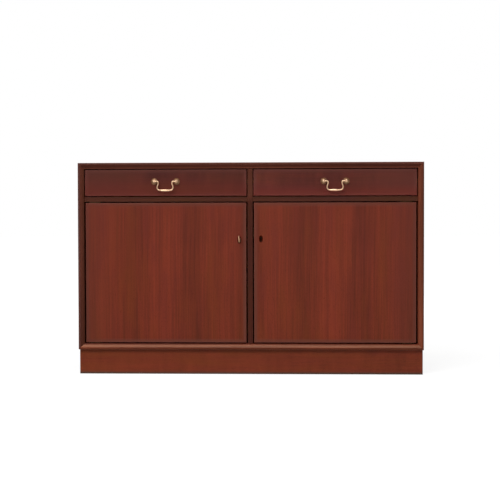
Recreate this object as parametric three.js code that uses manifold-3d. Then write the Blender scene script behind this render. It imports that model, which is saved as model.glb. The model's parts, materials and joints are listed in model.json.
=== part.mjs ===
// Office credenza: two drawers over two cupboard doors, in a mitred case on a set-back plinth.
// Millimetres, +Z up, front towards -Y. The origin is on the floor, under the middle of the whole piece.

import * as THREE from 'three';
import { mergeVertices } from 'three/addons/utils/BufferGeometryUtils.js';
import Module from 'manifold-3d';

const wasm = await Module();
wasm.setup();

// Driving dimensions: the case
const caseWidth = 1340;
const overallHeight = 822;
const caseDepth = 430;
const panelThickness = 23;
const lipWidth = 8;
const lipRound = 4;
const bevelDepth = 12;
const partitionThickness = 20;
const dividerThickness = 19;
const drawerOpeningHeight = 109;
const frameSetback = 4;
const backThickness = 6;
const rebateWidth = 10;
const rebateDepth = 8;

// Driving dimensions: the plinth
const plinthHeight = 96;
const plinthThickness = 18;
const plinthFrontSetback = 16;
const plinthSideInset = 3;
const plinthBackInset = 20;

// Driving dimensions: clearances
const glueLine = 0.3;
const runningGap = 0.4;
const drawerGap = 3.5;
const doorHingeGap = 6;
const doorLockGap = 5;
const doorHeadGap = 4.5;
const doorFootGap = 4.5;

// Driving dimensions: the drawers
const drawerFrontThickness = 20;
const drawerSideThickness = 14;
const drawerSideHeight = 86;
const drawerSideRise = 4;
const drawerBackThickness = 12;
const drawerBottomThickness = 5;
const drawerBottomRise = 8;
const drawerBottomBite = 6;
const drawerRearClearance = 15;
const tailCount = 3;
const tailLength = 14;
const tailTipWidth = 18;
const tailFlare = 2;
const runnerHeight = 14;
const runnerRise = 44;
const runnerBite = 7;
const runnerLength = 360;

// Driving dimensions: the drawer handles
const handleSpacing = 86.5;
const handleRise = 5;
const pivotReach = 15;
const roseRadius = 12.5;
const roseThickness = 4.3;
const roseRim = 1.5;
const postShankRadius = 2.5;
const postCollarRadius = 4.6;
const postNeckRadius = 3.4;
const postHeadRadius = 5.5;
const postTailLength = 5;
const bailWireRadius = 2.3;
const bailGripRadius = 4.2;
const bailGripSpread = 0.1;
const bailEndPast = 3;
const bailElbow = 28;
const bailNeck = [26.8, 8];
const bailBelly = [30.8, 22];
const bailCorner = [26.5, 32.2];
const bailDrop = 35;

// Driving dimensions: the doors and their knife hinges
const doorThickness = 20;
const pivotInset = 15;
const pivotSetback = 10;
const leafWidth = 9;
const leafLength = 44;
const leafLetIn = 1;
const hingeGap = 0.5;
const hingePinRadius = 2.5;

// Driving dimensions: the locks and the key
const leftLockHeight = 526;
const rightLockHeight = 530;
const lockBackset = 27;
const lockThickness = 10;
const lockWall = 1.5;
const lockEdgePlate = 2;
const keyholeRadius = 5.2;
const keyholeSlotWidth = 5.2;
const keyholeReach = 15.5;
const bitReach = 13;
const bitThickness = 2.8;
const bitWidth = 6;
const bitWardWidth = 1.6;
const bitWardDepth = 4;
const bitClearance = 1;
const boltHeight = 12;
const boltThickness = 5;
const boltLength = 32;
const boltBite = 4.5;
const drillPinRadius = 1.3;
const drillPinLength = 6;
const barrelRadius = 2.6;
const collarRadius = 3.3;
const collarLength = 3;
const keyReach = 29;
const bowHeight = 28;
const bowLength = 22;
const bowHoleHeight = 15;
const bowHoleLength = 10;
const bowThickness = 2.8;
const strikePlate = 1.5;
const strikeHeight = 40;
const strikeMargin = 4;
const stopReach = 7;
const stopGap = 0.5;

// Driving dimensions: the shelves
const shelfHeight = 377;
const shelfThickness = 18;
const shelfSetback = 60;
const shelfEndGap = 0.8;
const shelfRearGap = 2;
const cleatThickness = 14;
const cleatHeight = 18;
const cleatLength = 300;
const cleatSetback = 20;

// Facets on round shapes
const turnedSides = 20;
const boreSides = 16;
const arcSteps = 8;
const bailSteps = 56;
const bailSides = 8;
const cutPast = 2;

// Levels and places that follow from them
const halfWidth = caseWidth / 2;
const bayWidth = (caseWidth - 2 * panelThickness - partitionThickness) / 2;
const bayCentre = (partitionThickness + bayWidth) / 2;
const insideRear = caseDepth - rebateDepth;
const cupboardFloor = plinthHeight + panelThickness;
const caseCeiling = overallHeight - panelThickness;
const dividerTop = caseCeiling - drawerOpeningHeight;
const dividerUnder = dividerTop - dividerThickness;
const faceDepth = bevelDepth;
const frameFront = faceDepth + frameSetback;
const doorRear = faceDepth + doorThickness;
const frontOverhang = Math.max(keyReach, pivotReach + postHeadRadius) - faceDepth;
const mitreTrim = glueLine / Math.SQRT2;

// Finishes
const finishes = {
  caseMahogany: { color: 0x62301f, roughness: 0.4, metalness: 0 },
  doorMahogany: { color: 0x6c3123, roughness: 0.4, metalness: 0 },
  drawerMahogany: { color: 0x5a2e27, roughness: 0.4, metalness: 0 },
  boxwork: { color: 0x9a6a45, roughness: 0.6, metalness: 0 },
  plywood: { color: 0xa67c52, roughness: 0.7, metalness: 0 },
  brass: { color: 0xc8a276, roughness: 0.3, metalness: 1 },
  steel: { color: 0x8c8a86, roughness: 0.45, metalness: 1 },
};

// A closed geometry as a solid that can be joined and cut.
function solidOf(geometry) {
  const bare = geometry.clone();
  bare.deleteAttribute('normal');
  bare.deleteAttribute('uv');
  const merged = mergeVertices(bare);
  const corners = merged.index.array;
  const kept = [];
  for (let i = 0; i < corners.length; i += 3) {
    const [a, b, c] = corners.slice(i, i + 3);
    if (a !== b && b !== c && c !== a) {
      kept.push(a, b, c);
    }
  }
  const mesh = new wasm.Mesh({
    numProp: 3,
    vertProperties: new Float32Array(merged.attributes.position.array),
    triVerts: new Uint32Array(kept),
  });
  return new wasm.Manifold(mesh);
}

// A solid back as a geometry.
function geometryOf(solid) {
  const mesh = solid.getMesh();
  const geometry = new THREE.BufferGeometry();
  geometry.setAttribute('position', new THREE.BufferAttribute(mesh.vertProperties, 3));
  geometry.setIndex(new THREE.BufferAttribute(mesh.triVerts, 1));
  return geometry;
}

function cut(geometry, tools) {
  let solid = solidOf(geometry);
  for (const tool of tools) {
    solid = solid.subtract(solidOf(tool));
  }
  return geometryOf(solid);
}

function join(pieces) {
  let solid = solidOf(pieces[0]);
  for (const piece of pieces.slice(1)) {
    solid = solid.add(solidOf(piece));
  }
  return geometryOf(solid);
}

// A block between two limits along each axis, given in either order.
function block([x0, x1], [y0, y1], [z0, z1]) {
  const size = [Math.abs(x1 - x0), Math.abs(y1 - y0), Math.abs(z1 - z0)];
  return new THREE.BoxGeometry(...size).translate((x0 + x1) / 2, (y0 + y1) / 2, (z0 + z1) / 2);
}

// Prisms: an outline pushed along one axis, from the place where it starts.
function prismAlongZ(outline, z, height, holes = []) {
  const shape = new THREE.Shape(outline);
  shape.holes = holes.map((points) => new THREE.Path(points));
  return new THREE.ExtrudeGeometry(shape, { depth: height, bevelEnabled: false }).translate(0, 0, z);
}

function prismAlongX(outline, x, width, holes = []) {
  const upright = new THREE.Matrix4().set(0, 0, 1, 0, 1, 0, 0, 0, 0, 1, 0, 0, 0, 0, 0, 1);
  return prismAlongZ(outline, x, width, holes).applyMatrix4(upright);
}

function prismAlongY(outline, y, depth) {
  const upright = new THREE.Matrix4().makeRotationX(Math.PI / 2);
  return prismAlongZ(outline, 0, depth).applyMatrix4(upright).translate(0, y + depth, 0);
}

// Points along an arc about a centre, from one angle to another.
function arc(x, y, radiusX, radiusY, from, to, steps) {
  const points = [];
  for (let i = 0; i <= steps; i += 1) {
    const angle = from + ((to - from) * i) / steps;
    points.push(new THREE.Vector2(x + radiusX * Math.cos(angle), y + radiusY * Math.sin(angle)));
  }
  return points;
}

function oval(x, y, radiusX, radiusY, sides) {
  return arc(x, y, radiusX, radiusY, 0, 2 * Math.PI * (1 - 1 / sides), sides - 1);
}

// A profile of radius and place, turned about the Y axis.
function turnedAboutY(profile, sides) {
  const points = profile.map(([radius, place]) => new THREE.Vector2(radius, place));
  return new THREE.LatheGeometry(points, sides);
}

function pinAlongY(radius, from, to, sides = boreSides) {
  return turnedAboutY([[0, from], [radius, from], [radius, to], [0, to]], sides);
}

// A round rod along a curve in the XZ plane, with its own radius at each step.
function rodAlong(curve, radiusAt, steps, sides) {
  const places = [];
  const corners = [];
  const across = new THREE.Vector3(0, 1, 0);
  for (let i = 0; i <= steps; i += 1) {
    const centre = curve.getPointAt(i / steps);
    const side = new THREE.Vector3().crossVectors(curve.getTangentAt(i / steps), across);
    const radius = radiusAt(i / steps);
    for (let k = 0; k < sides; k += 1) {
      const angle = (2 * Math.PI * k) / sides;
      const rim = centre.clone().addScaledVector(side, radius * Math.cos(angle));
      rim.addScaledVector(across, radius * Math.sin(angle));
      places.push(...rim.toArray());
    }
  }
  for (let i = 0; i < steps; i += 1) {
    for (let k = 0; k < sides; k += 1) {
      const next = (k + 1) % sides;
      const [a, b] = [i * sides + k, i * sides + next];
      corners.push(a, a + sides, b, b, a + sides, b + sides);
    }
  }
  for (let k = 1; k < sides - 1; k += 1) {
    const last = steps * sides;
    corners.push(0, k, k + 1, last, last + k + 1, last + k);
  }
  const geometry = new THREE.BufferGeometry();
  geometry.setAttribute('position', new THREE.Float32BufferAttribute(places, 3));
  geometry.setIndex(corners);
  return geometry;
}

function piece(name, geometry, finish) {
  const mesh = new THREE.Mesh(geometry, new THREE.MeshStandardMaterial(finishes[finish]));
  mesh.name = name;
  return mesh;
}

// Case panels. The section runs from the front lip back to the rebate for the back panel: x is the
// depth behind the lip, y the distance in from the outer face. Both ends are cut to a mitre.
function casePanelGeometry(length) {
  const section = [
    ...arc(lipRound, lipRound, lipRound, lipRound, 1.5 * Math.PI, Math.PI, arcSteps / 2),
    new THREE.Vector2(0, lipWidth),
    new THREE.Vector2(bevelDepth, panelThickness),
    new THREE.Vector2(insideRear, panelThickness),
    new THREE.Vector2(insideRear, panelThickness - rebateWidth),
    new THREE.Vector2(caseDepth, panelThickness - rebateWidth),
    new THREE.Vector2(caseDepth, 0),
  ];
  const geometry = prismAlongZ(section, -length / 2, length);
  const places = geometry.attributes.position;
  for (let i = 0; i < places.count; i += 1) {
    const end = Math.sign(places.getZ(i));
    places.setZ(i, end * (length / 2 - places.getY(i) - mitreTrim));
  }
  return geometry;
}

// A case panel with its depth towards +Y and its inner side facing inward.
function casePanel(name, length, inward, x, z) {
  const panel = piece(name, casePanelGeometry(length), 'caseMahogany');
  const back = new THREE.Vector3(0, 1, 0);
  const along = new THREE.Vector3().crossVectors(back, inward);
  panel.setRotationFromMatrix(new THREE.Matrix4().makeBasis(back, inward, along));
  panel.position.set(x, 0, z);
  return panel;
}

// Knife hinges. A leaf's outline, round at the pivot, runs from it towards the middle of the case.
function leafOutline(inward, grow) {
  const half = leafWidth / 2 + grow;
  const tail = leafLength + grow;
  const outline = [
    ...arc(0, 0, half, half, Math.PI / 2, 1.5 * Math.PI, arcSteps),
    new THREE.Vector2(tail, -half),
    new THREE.Vector2(tail, half),
  ];
  return outline.map((point) => new THREE.Vector2(point.x * inward, point.y));
}

const doorHingeEdge = halfWidth - panelThickness - doorHingeGap;
const pivotX = doorHingeEdge - pivotInset;
const pivotDepth = faceDepth + pivotSetback;
const doorBottom = cupboardFloor + doorFootGap;
const doorTop = dividerUnder - doorHeadGap;

// The seat for a leaf: facing +1 when it opens upwards, -1 when it opens downwards.
function leafSeat(hand, surface, facing) {
  const floor = surface - facing * (leafLetIn + glueLine);
  const low = Math.min(floor, surface + facing * cutPast);
  const height = leafLetIn + glueLine + cutPast;
  return prismAlongZ(leafOutline(-hand, glueLine), low, height).translate(hand * pivotX, pivotDepth, 0);
}

// The pair of leaves at one end of a door: facing +1 at its foot, -1 at its head.
function hingeLeaves(hand, label, frameSurface, facing, doorGap) {
  const leafThickness = leafLetIn + (doorGap - hingeGap) / 2;
  const caseLow = frameSurface - facing * leafLetIn;
  const caseEnd = caseLow + facing * leafThickness;
  const doorLow = caseEnd + facing * hingeGap;
  const doorEnd = doorLow + facing * leafThickness;
  const plate = prismAlongZ(leafOutline(-hand, 0), Math.min(caseLow, caseEnd), leafThickness);
  const pinSpan = [caseLow + facing * leafLetIn, doorEnd - facing * hingeGap];
  const pin = prismAlongZ(
    oval(0, 0, hingePinRadius, hingePinRadius, boreSides),
    Math.min(...pinSpan),
    Math.abs(pinSpan[1] - pinSpan[0]),
  );
  const bore = oval(0, 0, hingePinRadius + glueLine, hingePinRadius + glueLine, boreSides);
  const doorPlate = prismAlongZ(leafOutline(-hand, 0), Math.min(doorLow, doorEnd), leafThickness, [bore]);
  const leaves = [
    piece(`${label}_case_leaf`, join([plate, pin]), 'brass'),
    piece(`${label}_door_leaf`, doorPlate, 'brass'),
  ];
  for (const leaf of leaves) {
    leaf.position.set(hand * pivotX, pivotDepth, 0);
  }
  return leaves;
}

// Locks. Places along X are counted from the door's free edge into the door.
const lockFront = doorRear - lockThickness;
const lockInsideRear = doorRear - lockWall;
const lockBelow = bitReach + bitClearance + lockWall;
const boltLow = bitReach + bitClearance;
const lockAbove = boltLow + boltHeight + bitClearance + lockWall;
const lockWidth = lockBackset + bitReach + bitClearance + lockWall;
const boltRear = lockInsideRear - runningGap;
const boltFront = boltRear - boltThickness;
const freeEdge = partitionThickness / 2 + doorLockGap;

function lockAt(hand) {
  const height = hand < 0 ? leftLockHeight : rightLockHeight;
  const x = (into) => hand * (freeEdge + into);
  return { height, x };
}

function lockSeat(hand) {
  const { height, x } = lockAt(hand);
  return block(
    [x(-cutPast), x(lockWidth + glueLine)],
    [lockFront - glueLine, doorRear + cutPast],
    [height - lockBelow - glueLine, height + lockAbove + glueLine],
  );
}

function keyhole(hand) {
  const { height, x } = lockAt(hand);
  const half = keyholeSlotWidth / 2;
  const meet = Math.asin(half / keyholeRadius);
  const outline = [
    new THREE.Vector2(-half, -keyholeReach),
    new THREE.Vector2(half, -keyholeReach),
    ...arc(0, 0, keyholeRadius, keyholeRadius, meet - Math.PI / 2, 1.5 * Math.PI - meet, 2 * arcSteps),
  ];
  const depth = doorThickness + 2 * cutPast;
  return prismAlongY(outline, faceDepth - cutPast, depth).translate(x(lockBackset), 0, height);
}

// The lock case is a tray, open towards the door, with a slot for the bolt and a pin for the key.
function lockCase(hand, label) {
  const { height, x } = lockAt(hand);
  const outside = block(
    [x(0), x(lockWidth)],
    [lockFront, doorRear],
    [height - lockBelow, height + lockAbove],
  );
  const hollow = block(
    [x(lockEdgePlate), x(lockWidth - lockWall)],
    [lockFront - cutPast, lockInsideRear],
    [height - lockBelow + lockWall, height + lockAbove - lockWall],
  );
  const slot = block(
    [x(-cutPast), x(lockEdgePlate + cutPast)],
    [boltFront - runningGap, boltRear + runningGap],
    [height + boltLow - runningGap, height + boltLow + boltHeight + runningGap],
  );
  const drillPin = pinAlongY(drillPinRadius, lockInsideRear - drillPinLength, doorRear - lockWall / 2);
  drillPin.translate(x(lockBackset), 0, height);
  return piece(`${label}_lock_case`, join([cut(outside, [hollow, slot]), drillPin]), 'steel');
}

function lockBolt(hand, label) {
  const { height, x } = lockAt(hand);
  const bar = block(
    [x(0), x(boltLength)],
    [boltFront, boltRear],
    [height + boltLow, height + boltLow + boltHeight],
  );
  return piece(`${label}_lock_bolt`, bar, 'brass');
}

// The strike is an angle plate: one leg let into the partition round the bolt's mortise, the other
// standing behind the door as its stop.
const strikeFront = boltFront - runningGap - strikeMargin;
const strikeRear = doorRear + stopGap + strikePlate;
const partitionFace = partitionThickness / 2;

function strikeLevels(hand) {
  const middle = lockAt(hand).height + boltLow + boltHeight / 2;
  return [middle - strikeHeight / 2, middle + strikeHeight / 2];
}

function boltMortise(hand, depth) {
  const { height } = lockAt(hand);
  return block(
    [hand * (partitionFace - depth), hand * (partitionFace + cutPast)],
    [boltFront - runningGap, boltRear + runningGap],
    [height + boltLow - runningGap, height + boltLow + boltHeight + runningGap],
  );
}

function strikeSeat(hand) {
  const [low, high] = strikeLevels(hand);
  return block(
    [hand * (partitionFace - strikePlate - glueLine), hand * (partitionFace + cutPast)],
    [strikeFront - glueLine, strikeRear + glueLine],
    [low - glueLine, high + glueLine],
  );
}

function strike(hand, label) {
  const levels = strikeLevels(hand);
  const leg = block(
    [hand * (partitionFace - strikePlate), hand * partitionFace],
    [strikeFront, strikeRear],
    levels,
  );
  const stop = block(
    [hand * (partitionFace - strikePlate), hand * (freeEdge + stopReach)],
    [strikeRear - strikePlate, strikeRear],
    levels,
  );
  const plate = cut(join([leg, stop]), [boltMortise(hand, boltBite + cutPast)]);
  return piece(`${label}_strike_plate`, plate, 'brass');
}

// The key: a hollow barrel on the drill pin, a bit with one ward cut, a collar and an oval bow.
function key(hand, label) {
  const { height, x } = lockAt(hand);
  const tip = lockInsideRear - runningGap;
  const bowFront = faceDepth - keyReach;
  const bowRear = bowFront + bowLength;
  const bowBand = (bowLength - bowHoleLength) / 2;
  const bow = prismAlongX(
    oval(bowFront + bowLength / 2, 0, bowLength / 2, bowHeight / 2, turnedSides),
    -bowThickness / 2,
    bowThickness,
    [oval(bowFront + bowLength / 2, 0, bowHoleLength / 2, bowHoleHeight / 2, turnedSides)],
  );
  const shank = pinAlongY(barrelRadius, bowRear - bowBand / 2, tip);
  const collar = pinAlongY(collarRadius, bowRear, bowRear + collarLength);
  const bit = block(
    [-bitThickness / 2, bitThickness / 2],
    [tip - bitWidth, tip],
    [-bitReach, -barrelRadius / 2],
  );
  const ward = block(
    [-bitThickness, bitThickness],
    [tip - (bitWidth + bitWardWidth) / 2, tip - (bitWidth - bitWardWidth) / 2],
    [-bitReach - cutPast, -bitReach + bitWardDepth],
  );
  const bore = pinAlongY(drillPinRadius + glueLine, tip - drillPinLength, tip + cutPast);
  const whole = cut(join([bow, shank, collar, bit]), [ward, bore]);
  const mesh = piece(label, whole, 'brass');
  mesh.position.set(x(lockBackset), 0, height);
  return mesh;
}

// A door with its leaves, lock case and bolt.
function door(hand, label) {
  const group = new THREE.Group();
  const slab = block(
    [hand * freeEdge, hand * doorHingeEdge],
    [faceDepth, doorRear],
    [doorBottom, doorTop],
  );
  const cuts = [leafSeat(hand, doorBottom, -1), leafSeat(hand, doorTop, 1), lockSeat(hand), keyhole(hand)];
  group.add(piece(`${label}_door`, cut(slab, cuts), 'doorMahogany'));
  group.add(lockCase(hand, label), lockBolt(hand, label));
  group.add(...hingeLeaves(hand, `${label}_bottom_hinge`, cupboardFloor, 1, doorFootGap));
  group.add(...hingeLeaves(hand, `${label}_top_hinge`, dividerUnder, -1, doorHeadGap));
  return group;
}

// Drawers. Their places along X are counted from the middle of the bay.
const drawerHalf = bayWidth / 2 - drawerGap;
const drawerInside = drawerHalf - drawerSideThickness;
const drawerFrontRear = faceDepth + drawerFrontThickness;
const drawerRear = insideRear - drawerRearClearance;
const drawerFrontLow = dividerTop + drawerGap;
const drawerFrontHigh = caseCeiling - drawerGap;
const drawerSideLow = drawerFrontLow + drawerSideRise;
const drawerSideHigh = drawerSideLow + drawerSideHeight;
const drawerBottomLow = drawerSideLow + drawerBottomRise;
const drawerBottomHigh = drawerBottomLow + drawerBottomThickness;
const sideShoulder = drawerFrontRear + glueLine;
const runnerLow = drawerSideLow + runnerRise;
const handleLevel = (drawerFrontLow + drawerFrontHigh) / 2 + handleRise;

// Half the width of a dovetail at a depth, and the levels of the tails' middles.
function tailHalf(depth) {
  const root = tailTipWidth / 2 - tailFlare;
  return root + (tailFlare * (sideShoulder - depth)) / tailLength;
}

function tailMiddles() {
  const pitch = drawerSideHeight / tailCount;
  return Array.from({ length: tailCount }, (_, i) => drawerSideHigh - (i + 0.5) * pitch);
}

function tailOutline(middle, from, to, grow) {
  return [
    new THREE.Vector2(from, middle + tailHalf(from) + grow),
    new THREE.Vector2(to, middle + tailHalf(to) + grow),
    new THREE.Vector2(to, middle - tailHalf(to) - grow),
    new THREE.Vector2(from, middle - tailHalf(from) - grow),
  ];
}

function drawerSide(name, hand) {
  const tip = sideShoulder - tailLength;
  const outline = [
    new THREE.Vector2(drawerRear, drawerSideLow),
    new THREE.Vector2(drawerRear, drawerSideHigh),
    new THREE.Vector2(sideShoulder, drawerSideHigh),
    ...tailMiddles().flatMap((middle) => tailOutline(middle, sideShoulder, tip, 0)),
    new THREE.Vector2(sideShoulder, drawerSideLow),
  ];
  const x = hand < 0 ? -drawerHalf : drawerInside;
  const board = prismAlongX(outline, x, drawerSideThickness);
  const runnerGroove = block(
    [hand * (drawerHalf + cutPast), hand * (drawerHalf - runnerBite - runningGap)],
    [sideShoulder, drawerRear + cutPast],
    [runnerLow - runningGap, runnerLow + runnerHeight + runningGap],
  );
  const bottomGroove = block(
    [hand * (drawerInside - cutPast), hand * (drawerInside + drawerBottomBite + glueLine)],
    [drawerFrontRear - drawerBottomBite - glueLine, drawerRear + cutPast],
    [drawerBottomLow - glueLine, drawerBottomHigh + glueLine],
  );
  return piece(name, cut(board, [runnerGroove, bottomGroove]), 'boxwork');
}

function drawerFront(name) {
  const board = block(
    [-drawerHalf, drawerHalf],
    [faceDepth, drawerFrontRear],
    [drawerFrontLow, drawerFrontHigh],
  );
  const cuts = [];
  const socketTip = sideShoulder - tailLength - glueLine;
  for (const middle of tailMiddles()) {
    const socket = tailOutline(middle, drawerFrontRear + cutPast, socketTip, glueLine);
    const width = drawerSideThickness + glueLine + cutPast;
    cuts.push(prismAlongX(socket, -drawerHalf - cutPast, width));
    cuts.push(prismAlongX(socket, drawerInside - glueLine, width));
  }
  const grooveHalf = drawerInside + drawerBottomBite + glueLine;
  cuts.push(block(
    [-grooveHalf, grooveHalf],
    [drawerFrontRear - drawerBottomBite - glueLine, drawerFrontRear + cutPast],
    [drawerBottomLow - glueLine, drawerBottomHigh + glueLine],
  ));
  for (const hand of [-1, 1]) {
    const hole = pinAlongY(postShankRadius + glueLine, faceDepth - cutPast, drawerFrontRear + cutPast);
    cuts.push(hole.translate((hand * handleSpacing) / 2, 0, handleLevel));
  }
  return piece(name, cut(board, cuts), 'drawerMahogany');
}

function drawerBottom(name) {
  const half = drawerInside + drawerBottomBite;
  const board = block(
    [-half, half],
    [drawerFrontRear - drawerBottomBite, drawerRear],
    [drawerBottomLow, drawerBottomHigh],
  );
  return piece(name, board, 'plywood');
}

function drawerBack(name) {
  const half = drawerInside - glueLine;
  const board = block(
    [-half, half],
    [drawerRear - drawerBackThickness, drawerRear],
    [drawerBottomHigh + glueLine, drawerSideHigh],
  );
  return piece(name, board, 'boxwork');
}

// Handle pieces are turned about an axis square to the drawer's face and stand out towards -Y.
function standOut(geometry, hand) {
  return geometry.rotateX(Math.PI).translate((hand * handleSpacing) / 2, faceDepth, handleLevel);
}

function rose(name, hand) {
  const bore = postShankRadius + glueLine;
  const shoulder = (roseRadius + postCollarRadius) / 2;
  const profile = [
    [bore, glueLine],
    [roseRadius, glueLine],
    [roseRadius, roseRim],
    [shoulder, (roseRim + roseThickness) / 2],
    [postCollarRadius, roseThickness],
    [bore, roseThickness],
    [bore, glueLine],
  ];
  return piece(name, standOut(turnedAboutY(profile, turnedSides), hand), 'brass');
}

function post(name, hand) {
  const seat = roseThickness + glueLine;
  const neckTop = pivotReach - Math.sqrt(postHeadRadius ** 2 - postNeckRadius ** 2);
  const collarTop = (seat + neckTop) / 2;
  const from = Math.asin(postNeckRadius / postHeadRadius);
  const head = arc(0, pivotReach, postHeadRadius, postHeadRadius, from - Math.PI / 2, Math.PI / 2, arcSteps);
  const profile = [
    [0, -drawerFrontThickness - postTailLength],
    [postShankRadius, -drawerFrontThickness - postTailLength],
    [postShankRadius, seat],
    [postCollarRadius, seat],
    [postCollarRadius, collarTop],
    [postNeckRadius, collarTop],
    ...head.map((point) => point.toArray()),
  ];
  const eye = pinAlongY(bailWireRadius + glueLine, -postHeadRadius - cutPast, postHeadRadius + cutPast);
  eye.rotateZ(Math.PI / 2).translate(0, pivotReach, 0);
  const turned = cut(turnedAboutY(profile, boreSides), [eye]);
  return piece(name, standOut(turned, hand), 'brass');
}

function bail(name) {
  const half = [
    [handleSpacing / 2 + bailEndPast, 0],
    [(handleSpacing / 2 + bailElbow) / 2, 0],
    [bailElbow, -bailWireRadius / 2],
    [bailNeck[0], -bailNeck[1]],
    [bailBelly[0], -bailBelly[1]],
    [bailCorner[0], -bailCorner[1]],
  ];
  const left = half.map(([x, z]) => new THREE.Vector3(-x, 0, z));
  const right = half.map(([x, z]) => new THREE.Vector3(x, 0, z)).reverse();
  const curve = new THREE.CatmullRomCurve3([...left, new THREE.Vector3(0, 0, -bailDrop), ...right]);
  const radiusAt = (along) => {
    const swell = Math.exp(-(((along - 0.5) / bailGripSpread) ** 2));
    return bailWireRadius + (bailGripRadius - bailWireRadius) * swell;
  };
  const mesh = piece(name, rodAlong(curve, radiusAt, bailSteps, bailSides), 'brass');
  mesh.position.set(0, faceDepth - pivotReach, handleLevel);
  return mesh;
}

function drawer(label) {
  const group = new THREE.Group();
  group.add(drawerFront(`${label}_drawer_front`), drawerBack(`${label}_drawer_back`));
  group.add(drawerBottom(`${label}_drawer_bottom`), bail(`${label}_handle_bail`));
  for (const [word, hand] of [['left', -1], ['right', 1]]) {
    group.add(drawerSide(`${label}_drawer_${word}_side`, hand));
    group.add(rose(`${label}_handle_${word}_rose`, hand), post(`${label}_handle_${word}_post`, hand));
  }
  return group;
}

// The wooden strips that the drawer sides run on, and stop against when they are shut.
function runner(name, hand) {
  const strip = block(
    [hand * (bayWidth / 2 - glueLine), hand * (drawerHalf - runnerBite)],
    [sideShoulder + runningGap, sideShoulder + runningGap + runnerLength],
    [runnerLow, runnerLow + runnerHeight],
  );
  return piece(name, strip, 'boxwork');
}

function shelf(name) {
  const half = bayWidth / 2 - shelfEndGap;
  const board = block(
    [-half, half],
    [shelfSetback, insideRear - shelfRearGap],
    [shelfHeight, shelfHeight + shelfThickness],
  );
  return piece(name, board, 'caseMahogany');
}

function cleat(name, hand) {
  const strip = block(
    [hand * (bayWidth / 2 - glueLine), hand * (bayWidth / 2 - glueLine - cleatThickness)],
    [shelfSetback + cleatSetback, shelfSetback + cleatSetback + cleatLength],
    [shelfHeight - glueLine - cleatHeight, shelfHeight - glueLine],
  );
  return piece(name, strip, 'caseMahogany');
}

// The board under a drawer, whose front edge shows as the rail, with a seat for the top hinge.
function divider(name, hand) {
  const board = block(
    [hand * (partitionFace + glueLine), hand * (halfWidth - panelThickness - glueLine)],
    [frameFront, insideRear],
    [dividerUnder, dividerTop],
  );
  return piece(name, cut(board, [leafSeat(hand, dividerUnder, -1)]), 'caseMahogany');
}

function partition() {
  const board = block(
    [-partitionFace, partitionFace],
    [frameFront, insideRear],
    [cupboardFloor + glueLine, caseCeiling - glueLine],
  );
  const cuts = [-1, 1].flatMap((hand) => [strikeSeat(hand), boltMortise(hand, boltBite + cutPast)]);
  return piece('centre_partition', cut(board, cuts), 'caseMahogany');
}

function backPanel() {
  const half = halfWidth - panelThickness + rebateWidth - glueLine;
  const board = block(
    [-half, half],
    [insideRear + glueLine, insideRear + glueLine + backThickness],
    [cupboardFloor - rebateWidth + glueLine, caseCeiling + rebateWidth - glueLine],
  );
  return piece('back_panel', board, 'plywood');
}

// The bottom panel carries the seats of both lower hinges in its upper face.
function bottomPanel() {
  const panel = casePanel('bottom_panel', caseWidth, new THREE.Vector3(0, 0, 1), 0, plinthHeight);
  panel.updateMatrix();
  const turned = panel.geometry.clone().applyMatrix4(panel.matrix);
  const seats = [-1, 1].map((hand) => leafSeat(hand, cupboardFloor, 1));
  return piece('bottom_panel', cut(turned, seats), 'caseMahogany');
}

function caseBoards() {
  const group = new THREE.Group();
  const sideHeight = overallHeight - plinthHeight;
  const middle = (overallHeight + plinthHeight) / 2;
  group.add(casePanel('top_panel', caseWidth, new THREE.Vector3(0, 0, -1), 0, overallHeight));
  group.add(casePanel('left_side_panel', sideHeight, new THREE.Vector3(1, 0, 0), -halfWidth, middle));
  group.add(casePanel('right_side_panel', sideHeight, new THREE.Vector3(-1, 0, 0), halfWidth, middle));
  group.add(bottomPanel(), partition(), backPanel());
  return group;
}

function plinth() {
  const group = new THREE.Group();
  const half = halfWidth - plinthSideInset;
  const levels = [0, plinthHeight - glueLine];
  const front = [plinthFrontSetback, plinthFrontSetback + plinthThickness];
  const rear = caseDepth - plinthBackInset;
  const sideSpan = [front[1] + glueLine, rear];
  const inside = half - plinthThickness;
  group.add(piece('plinth_front', block([-half, half], front, levels), 'doorMahogany'));
  group.add(piece('plinth_left', block([-half, -inside], sideSpan, levels), 'doorMahogany'));
  group.add(piece('plinth_right', block([inside, half], sideSpan, levels), 'doorMahogany'));
  const between = [-inside + glueLine, inside - glueLine];
  group.add(piece('plinth_back', block(between, [rear - plinthThickness, rear], levels), 'boxwork'));
  return group;
}

// One bay: its drawer and runners, its divider, its shelf and cleats, its strike and its door.
function bay(hand, label) {
  const group = new THREE.Group();
  const inBay = new THREE.Group();
  inBay.position.x = hand * bayCentre;
  inBay.add(drawer(label), shelf(`${label}_shelf`));
  for (const [word, side] of [['left', -1], ['right', 1]]) {
    inBay.add(runner(`${label}_drawer_${word}_runner`, side));
    inBay.add(cleat(`${label}_shelf_${word}_cleat`, side));
  }
  group.add(inBay, divider(`${label}_drawer_divider`, hand));
  group.add(strike(hand, label), door(hand, label));
  return group;
}

// Everything is built with the front lip at y = 0, then moved so that the whole is centred.
const furniture = new THREE.Group();
furniture.add(caseBoards(), plinth(), bay(-1, 'left'), bay(1, 'right'), key(-1, 'left_key'));
furniture.position.y = (frontOverhang - caseDepth) / 2;

const credenza = new THREE.Group();
credenza.add(furniture);

export default credenza;
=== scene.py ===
# %% [markdown]
# # An office credenza in mahogany
#
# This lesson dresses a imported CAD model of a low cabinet: a bevelled case on a plinth, two drawers with
# brass bail handles and two flush doors with locks. The CAD frame fixes every size and every hinge, so all
# that is left for Blender is the surface of things: softened edges, grain, lacquer, brass and fasteners.
# The frame is loaded first, because each later piece is measured from it.

# %% Load the frame
import json
import math

import bmesh
import bpy
from mathutils import Matrix, Vector

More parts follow.
